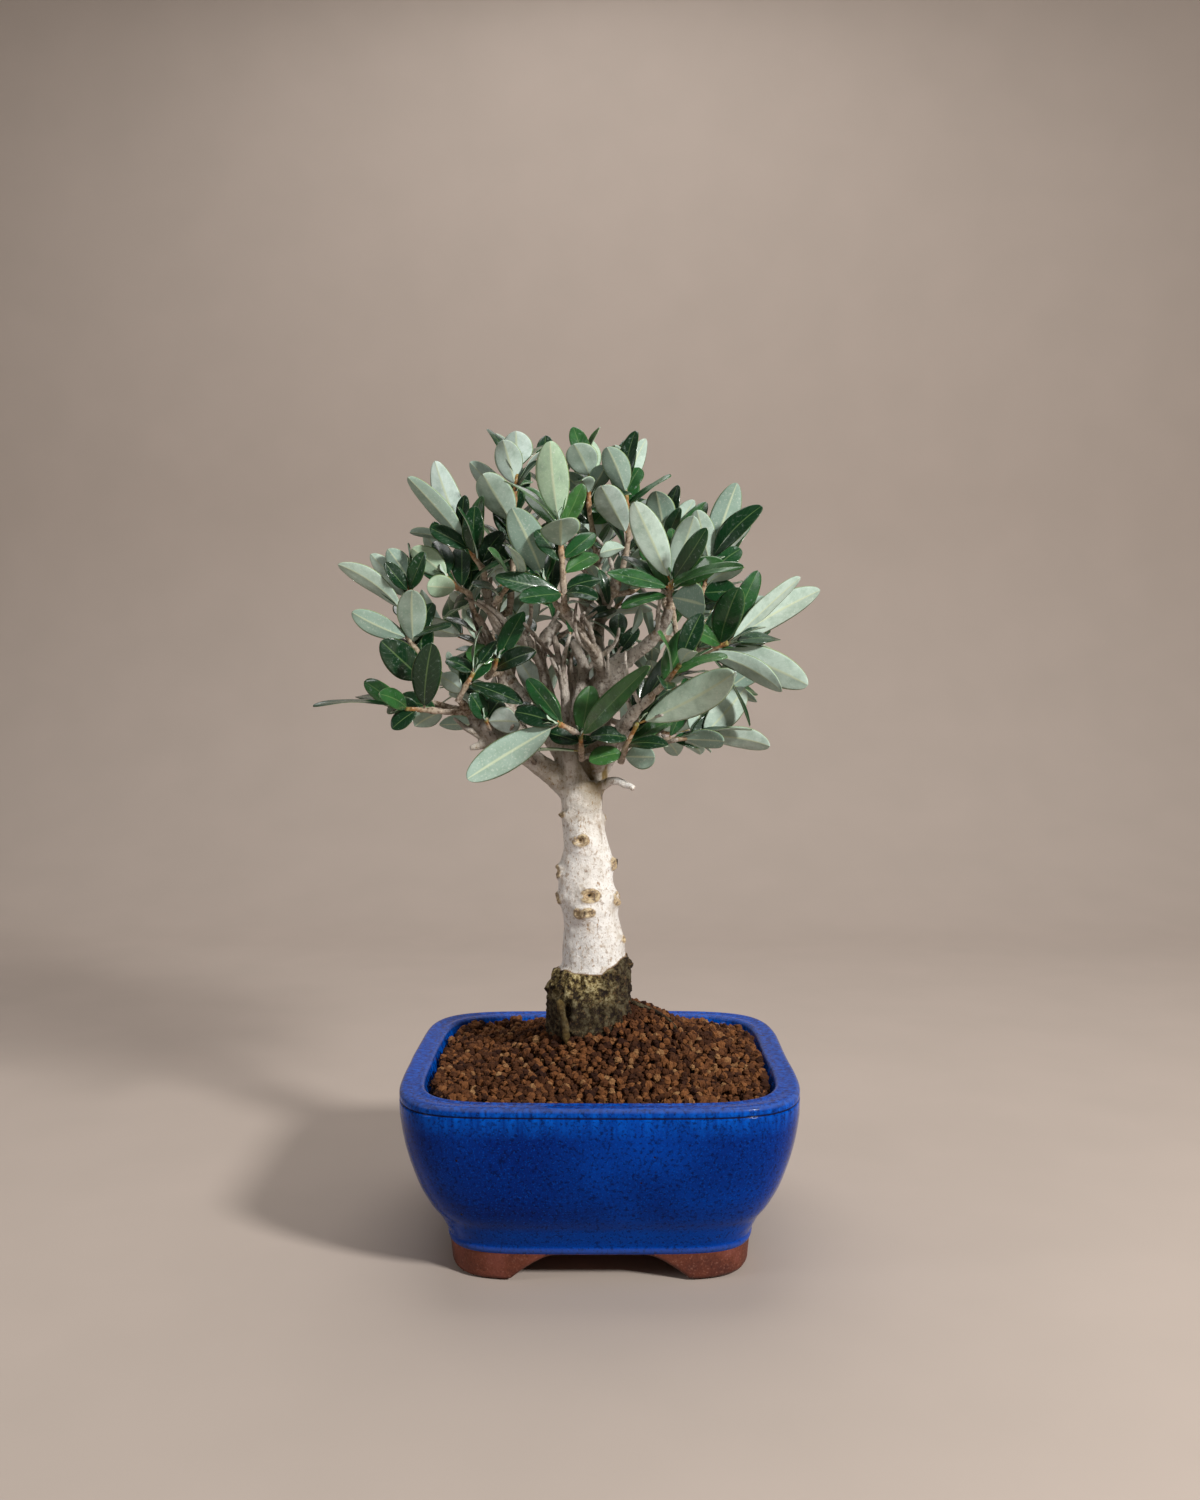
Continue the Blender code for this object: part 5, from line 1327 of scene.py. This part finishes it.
def glazed_stoneware(colours):
    """Cobalt glaze fired on stoneware: a thick glass layer, so a sharp gloss over a mottled deep blue.

    It is darker in clouds where it pooled, speckled and streaked where it ran, and paler and greyer on the
    rounded edges of the rim, partly thin glaze and partly a painted reflection. It breaks to the brown body in
    a few pinholes, and the groove under the rim is painted near-black as shade.
    """
    mat, put, shader, coords = new_material("cobalt_glazed_stoneware", IOR=1.5, Specular_IOR_Level=.07)
    cloud = put("TexNoise", {"Vector": coords, "Scale": per(60), "Detail": 2.0})
    speck = put("TexNoise", {"Vector": coords, "Scale": per(1.3), "Detail": 2.0, "Roughness": .6})
    fine = put("TexNoise", {"Vector": coords, "Scale": per(.6), "Detail": 1.0})
    drawn = put("Mapping", {"Vector": coords, "Scale": (1, 1, .16)})
    streak = put("TexNoise", {"Vector": drawn, "Scale": per(2.2), "Detail": 3.0})
    height = put("SeparateXYZ", {0: coords}, out=2)
    edge = put("Attribute", {}, out="Fac", attribute_name="edge")
    base = put("ValToRGB", {0: cloud}, stops=[(.3, "#00164d"), (.45, colours["glaze"]), (.6, "#002c7e"),
                                              (.75, "#003da0")])
    under_rim = put("MapRange", {0: height, 1: GLAZE_RUNS[0] * MM, 2: GLAZE_RUNS[1] * MM, 4: .85})
    runs = put("MapRange", {0: streak, 1: .38, 2: .62, 3: .25, 4: 1.0})
    runs = put("Math", {0: under_rim, 1: runs}, operation="MULTIPLY")
    base = put("Mix", {0: runs, 6: base, 7: "#0058c4"}, **MIX)
    belt = put("MapRange", {0: height, 1: GLAZE_BELT[0] * MM, 2: GLAZE_BELT[1] * MM, 4: .7})
    grains = put("MapRange", {0: speck, 1: .3, 2: .62, 3: .3, 4: 1.0})
    belt = put("Math", {0: belt, 1: grains}, operation="MULTIPLY")
    base = put("Mix", {0: belt, 6: base, 7: "#0047ac"}, **MIX)
    base = lay(put, base, (speck, .5, .66, .7, "#000c38"), (fine, .56, .72, .4, "#0052c0"))
    # The rounded edges are paler and greyer: thin glaze, and a painted reflection of the light that grazes
    # them.
    thin = put("Math", {0: edge, 1: .36}, operation="MULTIPLY")
    base = put("Mix", {0: thin, 6: base, 7: colours["thin"]}, **MIX)
    # Painted shade: where edge is below 0, the groove under the rim is painted near-black.
    base = lay(put, base, (edge, -.35, -.8, .95, "#160d10"))
    pin = put("TexVoronoi", {"Vector": coords, "Scale": per(11)}, out="Distance")
    hole = put("MapRange", {0: pin, 1: .05, 2: .03})
    base = put("Mix", {0: hole, 6: base, 7: "#1b0f0c"}, **MIX)
    rough = put("MapRange", {0: speck, 1: .35, 2: .7, 3: .07, 4: .2})
    waves = put("TexNoise", {"Vector": coords, "Scale": per(6), "Detail": 2.0})
    skin_bump = put("Bump", {"Height": waves, "Strength": .22, "Distance": .5 * MM})
    normal = put("Bump", {"Height": hole, "Strength": .5, "Distance": -.5 * MM, "Normal": skin_bump})
    return wire(mat, shader, Base_Color=base, Roughness=rough, Normal=normal)


def bare_stoneware(colours):
    """The same clay without glaze, fired red-brown: dry, patchy, with pale and dark grit."""
    mat, put, shader, coords = new_material("unglazed_red_stoneware", Specular_IOR_Level=.35)
    patch = put("TexNoise", {"Vector": coords, "Scale": per(13), "Detail": 4.0})
    grit = put("TexNoise", {"Vector": coords, "Scale": per(.9), "Detail": 3.0, "Roughness": .7})
    base = put("ValToRGB", {0: patch}, stops=[(.3, "#4a2119"), (.5, colours["clay"]), (.72, "#7d4338")])
    base = lay(put, base, (grit, .56, .7, .5, "#9a6a58"), (grit, .44, .3, .6, "#2c120d"))
    rough = put("MapRange", {0: patch, 1: .3, 2: .7, 3: .5, 4: .8})
    normal = put("Bump", {"Height": grit, "Strength": .4, "Distance": .25 * MM})
    return wire(mat, shader, Base_Color=base, Roughness=rough, Normal=normal)


def baked_clay(colours):
    """Hard baked clay granules: broken, porous and dry, each crumb of its own brown."""
    mat, put, shader, coords = new_material("baked_clay_granules", Roughness=.95, Specular_IOR_Level=.25)
    tone = put("Attribute", {}, out="Fac", attribute_name="tone")
    fine = put("TexNoise", {"Vector": coords, "Scale": per(.8), "Detail": 3.0, "Roughness": .7})
    base = put("ValToRGB", {0: tone}, stops=[(0.0, "#2e150b"), (.3, "#533019"), (.6, colours["granule"]),
                                             (.9, "#8d5a33"), (1.0, "#a87f55")])
    base = lay(put, base, (fine, .7, .3, .5, "#1c0d05"))
    normal = put("Bump", {"Height": fine, "Strength": .8, "Distance": .5 * MM})
    return wire(mat, shader, Base_Color=base, Normal=normal)


def soil_bed_with_painted_shade(colours):
    """Finer crumbs under the granules, painted very dark as the shade in the gaps between them."""
    mat, put, shader, coords = new_material("fine_clay_crumbs", Roughness=.95, Specular_IOR_Level=.2)
    crumb = put("TexNoise", {"Vector": coords, "Scale": per(2.2), "Detail": 4.0, "Roughness": .7})
    # The near-black stops are painted shade, seen in the gaps between the granules.
    base = put("ValToRGB", {0: crumb}, stops=[(.3, "#0d0503"), (.6, "#2c150c"), (.8, colours["granule"])])
    normal = put("Bump", {"Height": crumb, "Strength": 1.0, "Distance": 1.2 * MM})
    return wire(mat, shader, Base_Color=base, Normal=normal)


def olive_bark(colours):
    """Bark of an old olive: chalky grey-white with tan specks and pores, and ochre lichen near the limbs.

    The healed knots have brown rings round holes painted black as shade, and a dark, mossy cork lies round the
    foot. Limbs are greyer and browner the younger they are, with pale bands.
    """
    mat, put, shader, coords = new_material("olive_bark", Specular_IOR_Level=.25)
    long_way = put("Mapping", {"Vector": coords, "Scale": (1, 1, .4)})
    patch = put("TexNoise", {"Vector": long_way, "Scale": per(9), "Detail": 5.0, "Roughness": .6})
    fleck = put("TexNoise", {"Vector": coords, "Scale": per(1.5), "Detail": 3.0, "Roughness": .68})
    mottle = put("TexNoise", {"Vector": coords, "Scale": per(3.6), "Detail": 4.0, "Roughness": .7})
    pores = put("TexNoise", {"Vector": long_way, "Scale": per(1.0), "Detail": 2.0, "Roughness": .8})
    flake = put("TexNoise", {"Vector": coords, "Scale": per(2.8), "Detail": 6.0, "Roughness": .78})
    across = put("SeparateXYZ", {0: coords}, out=0)
    height = put("SeparateXYZ", {0: coords}, out=2)
    age, knot, below, bare_root = (put("Attribute", {}, out="Fac", attribute_name=name)
                                   for name in ("age", "knot", "cork", "root"))
    white = put("ValToRGB", {0: patch}, stops=[(.28, "#b3a698"), (.42, colours["bark"]), (.6, "#f6f3ef"),
                                               (.76, "#d6c9ba")])
    white = lay(put, white, (fleck, .55, .67, .65, "#94765a"), (mottle, .53, .66, .45, "#bda98f"))
    some = put("MapRange", {0: patch, 1: .42, 2: .55, 3: .2, 4: .85})
    pore = put("Math", {0: put("MapRange", {0: pores, 1: .6, 2: .66}), 1: some}, operation="MULTIPLY")
    white = put("Mix", {0: pore, 6: white, 7: "#a07a4c"}, **MIX)
    lichen = put("MapRange", {0: height, 1: LICHEN_HEIGHTS[0] * MM, 2: LICHEN_HEIGHTS[1] * MM})
    for mask in (put("MapRange", {0: patch, 1: .36, 2: .5}),
                 put("MapRange", {0: across, 1: LICHEN_LEFT[0] * MM, 2: LICHEN_LEFT[1] * MM, 3: .6, 4: 1.0}),
                 put("MapRange", {0: across, 1: LICHEN_RIGHT[0] * MM, 2: LICHEN_RIGHT[1] * MM})):
        lichen = put("Math", {0: lichen, 1: mask}, operation="MULTIPLY")
    white = put("Mix", {0: lichen, 6: white, 7: "#7b673e"}, **MIX)
    limb = put("ValToRGB", {0: patch}, stops=[(.3, "#4f463d"), (.43, "#8d8378"), (.58, "#c6beb4"),
                                              (.76, "#7d6a58")])
    limb = lay(put, limb, (fleck, .52, .66, .7, "#46342a"), (fleck, .42, .3, .5, "#d2c6b8"))
    young = put("ValToRGB", {0: fleck}, stops=[(.36, "#c2b3a2"), (.5, "#948069"), (.66, "#5b4431")])
    ring = put("ValToRGB", {0: fleck}, stops=[(.38, "#664e31"), (.5, "#b0905f"), (.6, "#dac69c")])
    # Painted shade: the knots' holes, where knot is over 1.35, are painted near-black.
    base = lay(put, white, (age, .1, .45, 1.0, limb), (age, .6, .85, 1.0, young), (knot, .25, .75, .85, ring),
               (knot, 1.35, 1.8, 1.0, "#120a07"))
    cork = put("ValToRGB", {0: flake}, stops=[(.39, "#0d0907"), (.46, "#443520"), (.52, "#96824f"),
                                              (.6, "#d8ca9c")])
    deep = put("MapRange", {0: height, 1: WET_CORK_HEIGHTS[0] * MM, 2: WET_CORK_HEIGHTS[1] * MM})
    right = put("MapRange", {0: across, 1: WET_CORK_RIGHT[0] * MM, 2: WET_CORK_RIGHT[1] * MM})
    wet = put("Math", {0: deep, 1: right}, operation="MAXIMUM")
    wet = put("Math", {0: wet, 1: .82}, operation="MULTIPLY")
    cork = put("Mix", {0: wet, 6: cork, 7: "#231914"}, **MIX)
    cork = lay(put, cork, (fleck, .6, .68, .75, "#8a6a48"))
    base = lay(put, base, (below, 0.0, .5, 1.0, cork), (bare_root, .4, 1.0, .75, "#8a7038"))
    border = put("MapRange", {0: below, 1: .02, 2: .2, 4: .8})
    border = put("Math", {0: border, 1: put("MapRange", {0: below, 1: .6, 2: .3})}, operation="MULTIPLY")
    base = put("Mix", {0: border, 6: base, 7: "#7f5a2a"}, **MIX)
    rough = put("MapRange", {0: fleck, 1: .3, 2: .7, 3: .7, 4: .92})
    fine = put("Bump", {"Height": fleck, "Strength": .7, "Distance": .5 * MM})
    deep_flake = put("Math", {0: flake, 1: put("MapRange", {0: below, 3: .4, 4: 1.0})}, operation="MULTIPLY")
    normal = put("Bump", {"Height": deep_flake, "Strength": .9, "Distance": 2.2 * MM, "Normal": fine})
    return wire(mat, shader, Base_Color=base, Roughness=rough, Normal=normal)


def young_bark(colours):
    """Bark of this year's stems: grey-brown with pale dots, warmer towards the tip and green at its end."""
    mat, put, shader, coords = new_material("young_olive_stem", Roughness=.65, Specular_IOR_Level=.3)
    fleck = put("TexNoise", {"Vector": coords, "Scale": per(1.2), "Detail": 3.0})
    tone = put("Attribute", {}, out="Fac", attribute_name="tone")
    base = put("ValToRGB", {0: tone}, stops=[(0.0, "#a3968a"), (.5, "#a8967f"), (.8, colours["stem"]),
                                             (1.0, "#87894a")])
    base = lay(put, base, (fleck, .52, .66, .75, "#573d2a"), (fleck, .44, .32, .7, "#cfbfa9"))
    normal = put("Bump", {"Height": fleck, "Strength": .4, "Distance": .25 * MM})
    return wire(mat, shader, Base_Color=base, Normal=normal)


def leaf_pattern(put):
    """Distance from the midrib, and the side veins: thin lines that leave the midrib at a slant."""
    uv = put("UVMap", {}, uv_map="surface")
    across = put("SeparateXYZ", {0: uv}, out=0)
    up = put("SeparateXYZ", {0: uv}, out=1)
    from_rib = put("Math", {0: put("Math", {0: across, 1: .5}, operation="SUBTRACT")}, operation="ABSOLUTE")
    slant = put("Math", {0: from_rib, 1: -.45, 2: up}, operation="MULTIPLY_ADD")
    wave = put("Math", {0: put("Math", {0: slant, 1: 34.0}, operation="MULTIPLY")}, operation="SINE")
    vein = put("MapRange", {0: put("Math", {0: wave}, operation="ABSOLUTE"), 1: .16, 2: .02})
    return from_rib, vein


def leaf_upper(colours):
    """Upper face of an olive leaf: thick waxy skin, dark green with a soft gloss, a sunk paler midrib, a
    yellowish edge, and dried water spots of chalk."""
    mat, put, shader, coords = new_material("olive_leaf_upper", IOR=1.45, Specular_IOR_Level=.3,
                                            Coat_Weight=.6, Coat_Roughness=.12)
    from_rib, vein = leaf_pattern(put)
    tone = put("Attribute", {}, out="Fac", attribute_name="tone")
    cloud = put("TexNoise", {"Vector": coords, "Scale": per(6), "Detail": 3.0})
    spots = put("TexNoise", {"Vector": coords, "Scale": per(1.6), "Detail": 4.0, "Roughness": .75})
    base = put("ValToRGB", {0: tone}, stops=[(0.0, "#082613"), (.4, colours["leaf_top"]), (.75, "#1c5226"),
                                             (1.0, "#45763a")])
    base = lay(put, base, (cloud, .35, .68, .5, "#0a2e17"), (vein, 0.0, 1.0, .2, "#5f8052"),
               (from_rib, .034, .012, .5, "#6f8c55"), (from_rib, .47, .492, .5, "#7f9050"))
    some = put("MapRange", {0: cloud, 1: .42, 2: .6, 3: .1, 4: .8})
    chalk = put("Math", {0: put("MapRange", {0: spots, 1: .58, 2: .7}), 1: some}, operation="MULTIPLY")
    base = put("Mix", {0: chalk, 6: base, 7: "#8ea295"}, **MIX)
    rough = put("MapRange", {0: spots, 1: .4, 2: .7, 3: .28, 4: .55})
    leather = put("TexNoise", {"Vector": coords, "Scale": per(1.1), "Detail": 2.0})
    leather = put("Bump", {"Height": leather, "Strength": .45, "Distance": .25 * MM})
    normal = put("Bump", {"Height": vein, "Strength": .2, "Distance": -.2 * MM, "Normal": leather})
    return wire(mat, shader, Base_Color=base, Roughness=rough, Normal=normal)


def leaf_under(colours):
    """Under face of an olive leaf: pale sage felt of tiny scales, so no gloss, with a raised paler midrib
    and a yellow-green edge."""
    mat, put, shader, coords = new_material("olive_leaf_under", Roughness=.7, Specular_IOR_Level=.25)
    from_rib, vein = leaf_pattern(put)
    tone = put("Attribute", {}, out="Fac", attribute_name="tone")
    cloud = put("TexNoise", {"Vector": coords, "Scale": per(5), "Detail": 4.0, "Roughness": .65})
    scales = put("TexNoise", {"Vector": coords, "Scale": per(.9), "Detail": 3.0, "Roughness": .7})
    base = put("ValToRGB", {0: tone}, stops=[(0.0, "#8aa395"), (.4, colours["leaf_under"]), (.75, "#c6d6cf"),
                                             (1.0, "#a8c2a2")])
    base = lay(put, base, (cloud, .42, .72, .55, "#7a9481"), (vein, 0.0, 1.0, .25, "#829a82"),
               (from_rib, .055, .02, .8, "#c0cbab"), (from_rib, .465, .49, .8, "#8fa257"),
               (scales, .56, .7, .45, "#d8ded2"))
    normal = put("Bump", {"Height": scales, "Strength": .3, "Distance": .15 * MM})
    return wire(mat, shader, Base_Color=base, Normal=normal)


def plastic_net():
    """Drain net: moulded black polyethylene, slightly waxy."""
    mat, put, shader, coords = new_material("black_polyethylene_net", Roughness=.5)
    mottle = put("TexNoise", {"Vector": coords, "Scale": per(2), "Detail": 3.0})
    return wire(mat, shader, Base_Color=put("Mix", {0: mottle, 6: "#0c0d0c", 7: "#20221f"}, **MIX))


def pale_paper(colours):
    """Matte studio paper, so soft that no edge shows in it."""
    mat, put, shader, coords = new_material("studio_paper", Roughness=.95, Specular_IOR_Level=.1)
    mottle = put("TexNoise", {"Vector": coords, "Scale": per(60), "Detail": 2.0})
    return wire(mat, shader, Base_Color=put("Mix", {0: mottle, 6: colours["floor"], 7: "#b2a59b"}, **MIX))


# Settings


def tint(name, text, code):
    """A colour setting, with the default as an sRGB hex value."""
    return bpy.props.FloatVectorProperty(name=name, description=text, default=linear(code), subtype="COLOR",
                                         min=0, max=1)


class BonsaiColours(bpy.types.PropertyGroup):
    """Main colours of the bonsai and its stage."""

    glaze: tint("Glaze", "Cobalt glaze", "#00226e")
    # Thin glaze on the rim's edges, also laid there as a painted reflection.
    thin: tint("Thin glaze", "Glaze at the rim's edges", "#5d637e")
    clay: tint("Clay", "Unglazed feet", "#64301f")
    granule: tint("Granules", "Soil granules", "#6f4426")
    bark: tint("Bark", "Trunk bark", "#ece7e0")
    stem: tint("Stems", "Young stems", "#a5703d")
    leaf_top: tint("Leaf top", "Upper faces of the leaves", "#0a3618")
    leaf_under: tint("Leaf underside", "Under faces of the leaves", "#b5c9bb")
    floor: tint("Floor", "Studio paper", "#b9aba1")


class BonsaiSizes(bpy.types.PropertyGroup):
    """Sizes that change the look without leaving the model's box."""

    granule_step: bpy.props.FloatProperty(
        name="Granule spacing", description="Distance of two soil granules", default=GRANULE_STEP * MM,
        min=.002, max=.005, unit="LENGTH")
    wood_detail: bpy.props.FloatProperty(
        name="Wood detail", description="Side of the cubes that sample the wood", default=WOOD_VOXEL * MM,
        min=.0006, max=.002, unit="LENGTH")
    inner_leaves: bpy.props.IntProperty(
        name="Inner leaves", description="Leaves tried on each inner twig", default=INNER_LEAVES,
        min=0, max=8)


class BonsaiLight(bpy.types.PropertyGroup):
    """Studio lights."""

    key: bpy.props.FloatProperty(
        name="Key", description="Power of the main light, front right", default=18.5, min=0, unit="POWER")
    fill: bpy.props.FloatProperty(
        name="Fill", description="Power of the left light", default=2.2, min=0, unit="POWER")
    top: bpy.props.FloatProperty(
        name="Top", description="Power of the overhead light", default=8.0, min=0, unit="POWER")


def colours():
    group = bpy.context.scene.bonsai_colours
    return {key: (*getattr(group, key), 1) for key in BonsaiColours.__annotations__}


# Operators


class BONSAI_OT_pot(bpy.types.Operator):
    """Build the glazed pot on its four bare feet"""

    bl_idname = "bonsai.pot"
    bl_label = "Pot"

    def execute(self, context):
        shape, glazed, edge = pot_shape()
        quads, fans = shape[1], shape[2]
        slots = np.concatenate([glazed[quads].min(1) > 0, glazed[fans].min(1) > 0])
        finishes = [bare_stoneware(colours()), glazed_stoneware(colours())]
        pot = to_mesh("glazed_pot", shape, finishes, slots, {"edge": edge})
        for x in (-DRAIN_OFFSET, DRAIN_OFFSET):
            drill(pot, x)
        keep(pot, "glazed_pot", "pot")
        net = plastic_net()
        for name in ("drain_screen_left", "drain_screen_right"):
            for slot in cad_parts[name].material_slots:
                slot.material = net
        return {"FINISHED"}


def drill(pot, x):
    """Cuts a drain hole through the floor with a Boolean, and applies it."""
    t = np.linspace(0, 2 * math.pi, 48, endpoint=False)
    ring = np.column_stack([x + DRAIN_RADIUS * np.cos(t), DRAIN_RADIUS * np.sin(t), np.zeros(48)])
    rings = np.stack([ring + (0, 0, FLOOR_UNDER - 3), ring + (0, 0, FLOOR_TOP + 3)])
    cutter = to_mesh("drain_cutter", skin(rings), [])
    cut = pot.modifiers.new("drain", "BOOLEAN")
    cut.operation = "DIFFERENCE"
    cut.solver = "EXACT"
    cut.object = cutter
    mesh = bpy.data.meshes.new_from_object(pot.evaluated_get(bpy.context.evaluated_depsgraph_get()))
    pot.modifiers.clear()
    pot.data = mesh
    bpy.data.objects.remove(cutter, do_unlink=True)


class BONSAI_OT_soil(bpy.types.Operator):
    """Fill the pot with its bed and loose clay granules"""

    bl_idname = "bonsai.soil"
    bl_label = "Soil"

    def execute(self, context):
        rng = np.random.default_rng(GRANULE_SEED)
        bed = to_mesh("soil_bed", bed_shape(), [soil_bed_with_painted_shade(colours())])
        keep(bed, "clay_granules", "soil")
        clay = baked_clay(colours())
        middles, radii = granule_places(rng, context.scene.bonsai_sizes.granule_step / MM)
        for name, chosen in (("granules_front", middles[:, 1] < 0), ("granules_back", middles[:, 1] >= 0)):
            shape, tones = granules(rng, middles[chosen], radii[chosen])
            piece = to_mesh(name, shape, [clay], values={"tone": tones}, flat=True)
            keep(piece, "clay_granules", "soil")
        return {"FINISHED"}


class BONSAI_OT_wood(bpy.types.Operator):
    """Grow the trunk with its knots and cork foot, the limbs and the fine twigs"""

    bl_idname = "bonsai.wood"
    bl_label = "Trunk and limbs"

    def execute(self, context):
        bark = olive_bark(colours())
        plan = planting()
        shape, values = trunk_surface(plan["spurs"], context.scene.bonsai_sizes.wood_detail / MM)
        keep(to_mesh("trunk_and_limbs", shape, [bark], values=values), "olive_bark", "trunk")
        path = smooth(with_radii(THIN_ROOT), 40)
        root = skin(sweep(path[:, :3], path[:, 3], 10, .3, 3, 81))
        for name, wood, age, cork in (("inner_twigs", plan["twigs"], plan["twig_ages"], 0),
                                      ("thin_root", root, .5, 1)):
            ones = np.ones(len(wood[0]))
            values = {"cork": ones * cork, "age": ones * age, "knot": ones * 0, "root": ones * 0}
            keep(to_mesh(name, wood, [bark], values=values), "olive_bark", "trunk")
        return {"FINISHED"}


class BONSAI_OT_leaves(bpy.types.Operator):
    """Hang every leafy shoot in its place: the stem, its leaves and the young pair at its tip"""

    bl_idname = "bonsai.leaves"
    bl_label = "Leafy shoots"

    def execute(self, context):
        finishes = [leaf_upper(colours()), leaf_under(colours()), young_bark(colours())]
        plan = planting()
        for count, (name, line) in enumerate(plan["stems"].items()):
            rng = np.random.default_rng(LEAF_SEED + count)
            leaf_shape, slots, uv, tone = leaves_mesh(plan["leaves"][name] + bud_rows(line), rng)
            wood, along_stem = stem_shape(line)
            shape = together([leaf_shape, wood])
            quads = len(leaf_shape[1])
            slots = np.concatenate([slots[:quads], np.full(len(wood[1]), 2),
                                    slots[quads:], np.full(len(wood[2]), 2)])
            uv = np.vstack([uv, np.tile((.25, .5), (len(along_stem), 1))])
            piece = to_mesh(name.replace("shoot_", "leafy_shoot_"), shape, finishes, slots,
                            {"tone": np.append(tone, along_stem)}, uv)
            keep(piece, "leaf", name)
        inner, slots, uv, tone = leaves_mesh(plan["inner"], np.random.default_rng(INNER_LEAF_SEED))
        # The inner leaves take only the darker part of the leaf tones, as painted shade inside the crown.
        keep(to_mesh("inner_leaves", inner, finishes, slots, {"tone": tone * .6}, uv), "leaf")
        return {"FINISHED"}


_planting = {}  # what planting() has worked out


def planting():
    """Stems, spurs and leaves as the model has them, and the fine inner twigs with their leaves, worked out
    once."""
    if _planting:
        return _planting
    rng = np.random.default_rng(SEED)
    crown = Crown()
    wood = trunk_shapes()
    shoots = {}
    for name, (rows, leaf_rows) in SHOOTS.items():
        shoots["shoot_" + name] = (places(rows), leaf_rows)
    for count, rows in enumerate(BACK_SHOOTS, 1):
        shoots[f"shoot_back_{count:02d}"] = (places(rows), None)
    stems, spurs = {}, []
    for name, (stem, _) in shoots.items():
        spur, line, solid, spur_line = spur_and_stem(stem)
        wood.append(spur)
        stems[name] = line
        spurs.append(spur_line)
        crown.add(solid, name)
    for shape in wood:
        crown.add(shape, "trunk")
    leaves = {name: [] for name in shoots}
    for name, (_, leaf_rows) in shoots.items():
        if leaf_rows:
            leaves[name] += place_seen_leaves(crown, name, stems[name], leaf_rows)
    for name, (_, leaf_rows) in shoots.items():
        leaves[name] += place_ruled_leaves(crown, name, stems[name], rng, only_back=bool(leaf_rows))
    leaves_each = bpy.context.scene.bonsai_sizes.inner_leaves
    twigs, ages, inner = branchlets(np.random.default_rng(TWIG_SEED), crown, leaves_each)
    _planting.update(stems=stems, spurs=spurs, leaves=leaves, twigs=twigs, twig_ages=ages, inner=inner)
    return _planting


def area_light(name, at, towards, size, power, colour):
    light = bpy.data.lights.new(name, "AREA")
    light.shape = "DISK"
    light.size = size
    light.energy = power
    light.color = linear(colour)
    obj = bpy.data.objects.new(name, light)
    bpy.context.scene.collection.objects.link(obj)
    obj.location = at
    obj.rotation_euler = (Vector(towards) - Vector(at)).to_track_quat("-Z", "Y").to_euler()


def paper_shape():
    """A sheet of studio paper: flat under the pot, then up in a quarter circle behind it, and straight on."""
    turn = np.radians(np.linspace(0, 90, 24))
    across = np.concatenate([[-FLOOR_FRONT], FLOOR_BACK + PAPER_CURVE * np.sin(turn),
                             [FLOOR_BACK + PAPER_CURVE]])
    high = np.concatenate([[0], PAPER_CURVE * (1 - np.cos(turn)), [PAPER_TOP]]) - PAPER_UNDER
    left = np.column_stack([np.full(len(across), -PAPER_HALF), across, high])
    points = np.vstack([left, left * (-1, 1, 1)])
    k = np.arange(len(across) - 1)
    n = len(across)
    return points, np.stack([k, k + n, k + n + 1, k + 1], 1), np.empty((0, 3), int)


class BONSAI_OT_stage(bpy.types.Operator):
    """Set up the pale paper, the studio lights and the camera"""

    bl_idname = "bonsai.stage"
    bl_label = "Stage"

    def execute(self, context):
        scene = context.scene
        light = scene.bonsai_light
        to_mesh("floor", paper_shape(), [pale_paper(colours())])
        for name, (at, size, colour) in LIGHTS.items():
            area_light(name, at, (POT_MIDDLE_X * MM, 0, LIT_HEIGHT), size, getattr(light, name), colour)
        world = bpy.data.worlds.new("studio")
        world.use_nodes = True
        backdrop = world.node_tree.nodes["Background"].inputs
        backdrop[0].default_value = (*linear(BACKDROP_COLOUR), 1)
        backdrop[1].default_value = BACKDROP_STRENGTH
        scene.world = world
        scene.view_settings.view_transform = "Standard"
        camera = bpy.data.cameras.new("camera")
        camera.sensor_fit = "AUTO"
        camera.sensor_width = SENSOR
        camera.lens = VIEW_SCALE * SENSOR / PICTURE_HEIGHT
        camera.clip_start = .01
        obj = bpy.data.objects.new("camera", camera)
        scene.collection.objects.link(obj)
        obj.location = (np.array(VIEW_POINT) + (POT_MIDDLE_X, 0, 0)) * MM
        obj.rotation_euler = (math.pi / 2 - VIEW_TILT, 0, 0)
        scene.camera = obj
        return {"FINISHED"}


class BONSAI_PT_panel(bpy.types.Panel):
    """Lists the pieces and what can be changed on them"""

    bl_idname = "BONSAI_PT_panel"
    bl_label = "Olive Bonsai"
    bl_space_type = "VIEW_3D"
    bl_region_type = "UI"
    bl_category = "Bonsai"

    def draw(self, context):
        for group in (context.scene.bonsai_colours, context.scene.bonsai_sizes, context.scene.bonsai_light):
            box = self.layout.box()
            for key in type(group).__annotations__:
                box.prop(group, key)
        for step in STEPS:
            self.layout.operator(step.bl_idname)


STEPS = (BONSAI_OT_pot, BONSAI_OT_soil, BONSAI_OT_wood, BONSAI_OT_leaves, BONSAI_OT_stage)
CLASSES = (BonsaiColours, BonsaiSizes, BonsaiLight, *STEPS, BONSAI_PT_panel)


def register():
    for item in CLASSES:
        bpy.utils.register_class(item)
    bpy.types.Scene.bonsai_colours = bpy.props.PointerProperty(type=BonsaiColours)
    bpy.types.Scene.bonsai_sizes = bpy.props.PointerProperty(type=BonsaiSizes)
    bpy.types.Scene.bonsai_light = bpy.props.PointerProperty(type=BonsaiLight)


def unregister():
    del bpy.types.Scene.bonsai_colours
    del bpy.types.Scene.bonsai_sizes
    del bpy.types.Scene.bonsai_light
    for item in reversed(CLASSES):
        bpy.utils.unregister_class(item)


def main():
    register()
    bpy.ops.bonsai.pot()
    bpy.ops.bonsai.soil()
    bpy.ops.bonsai.wood()
    bpy.ops.bonsai.leaves()
    bpy.ops.bonsai.stage()


if __name__ == "__main__":
    main()
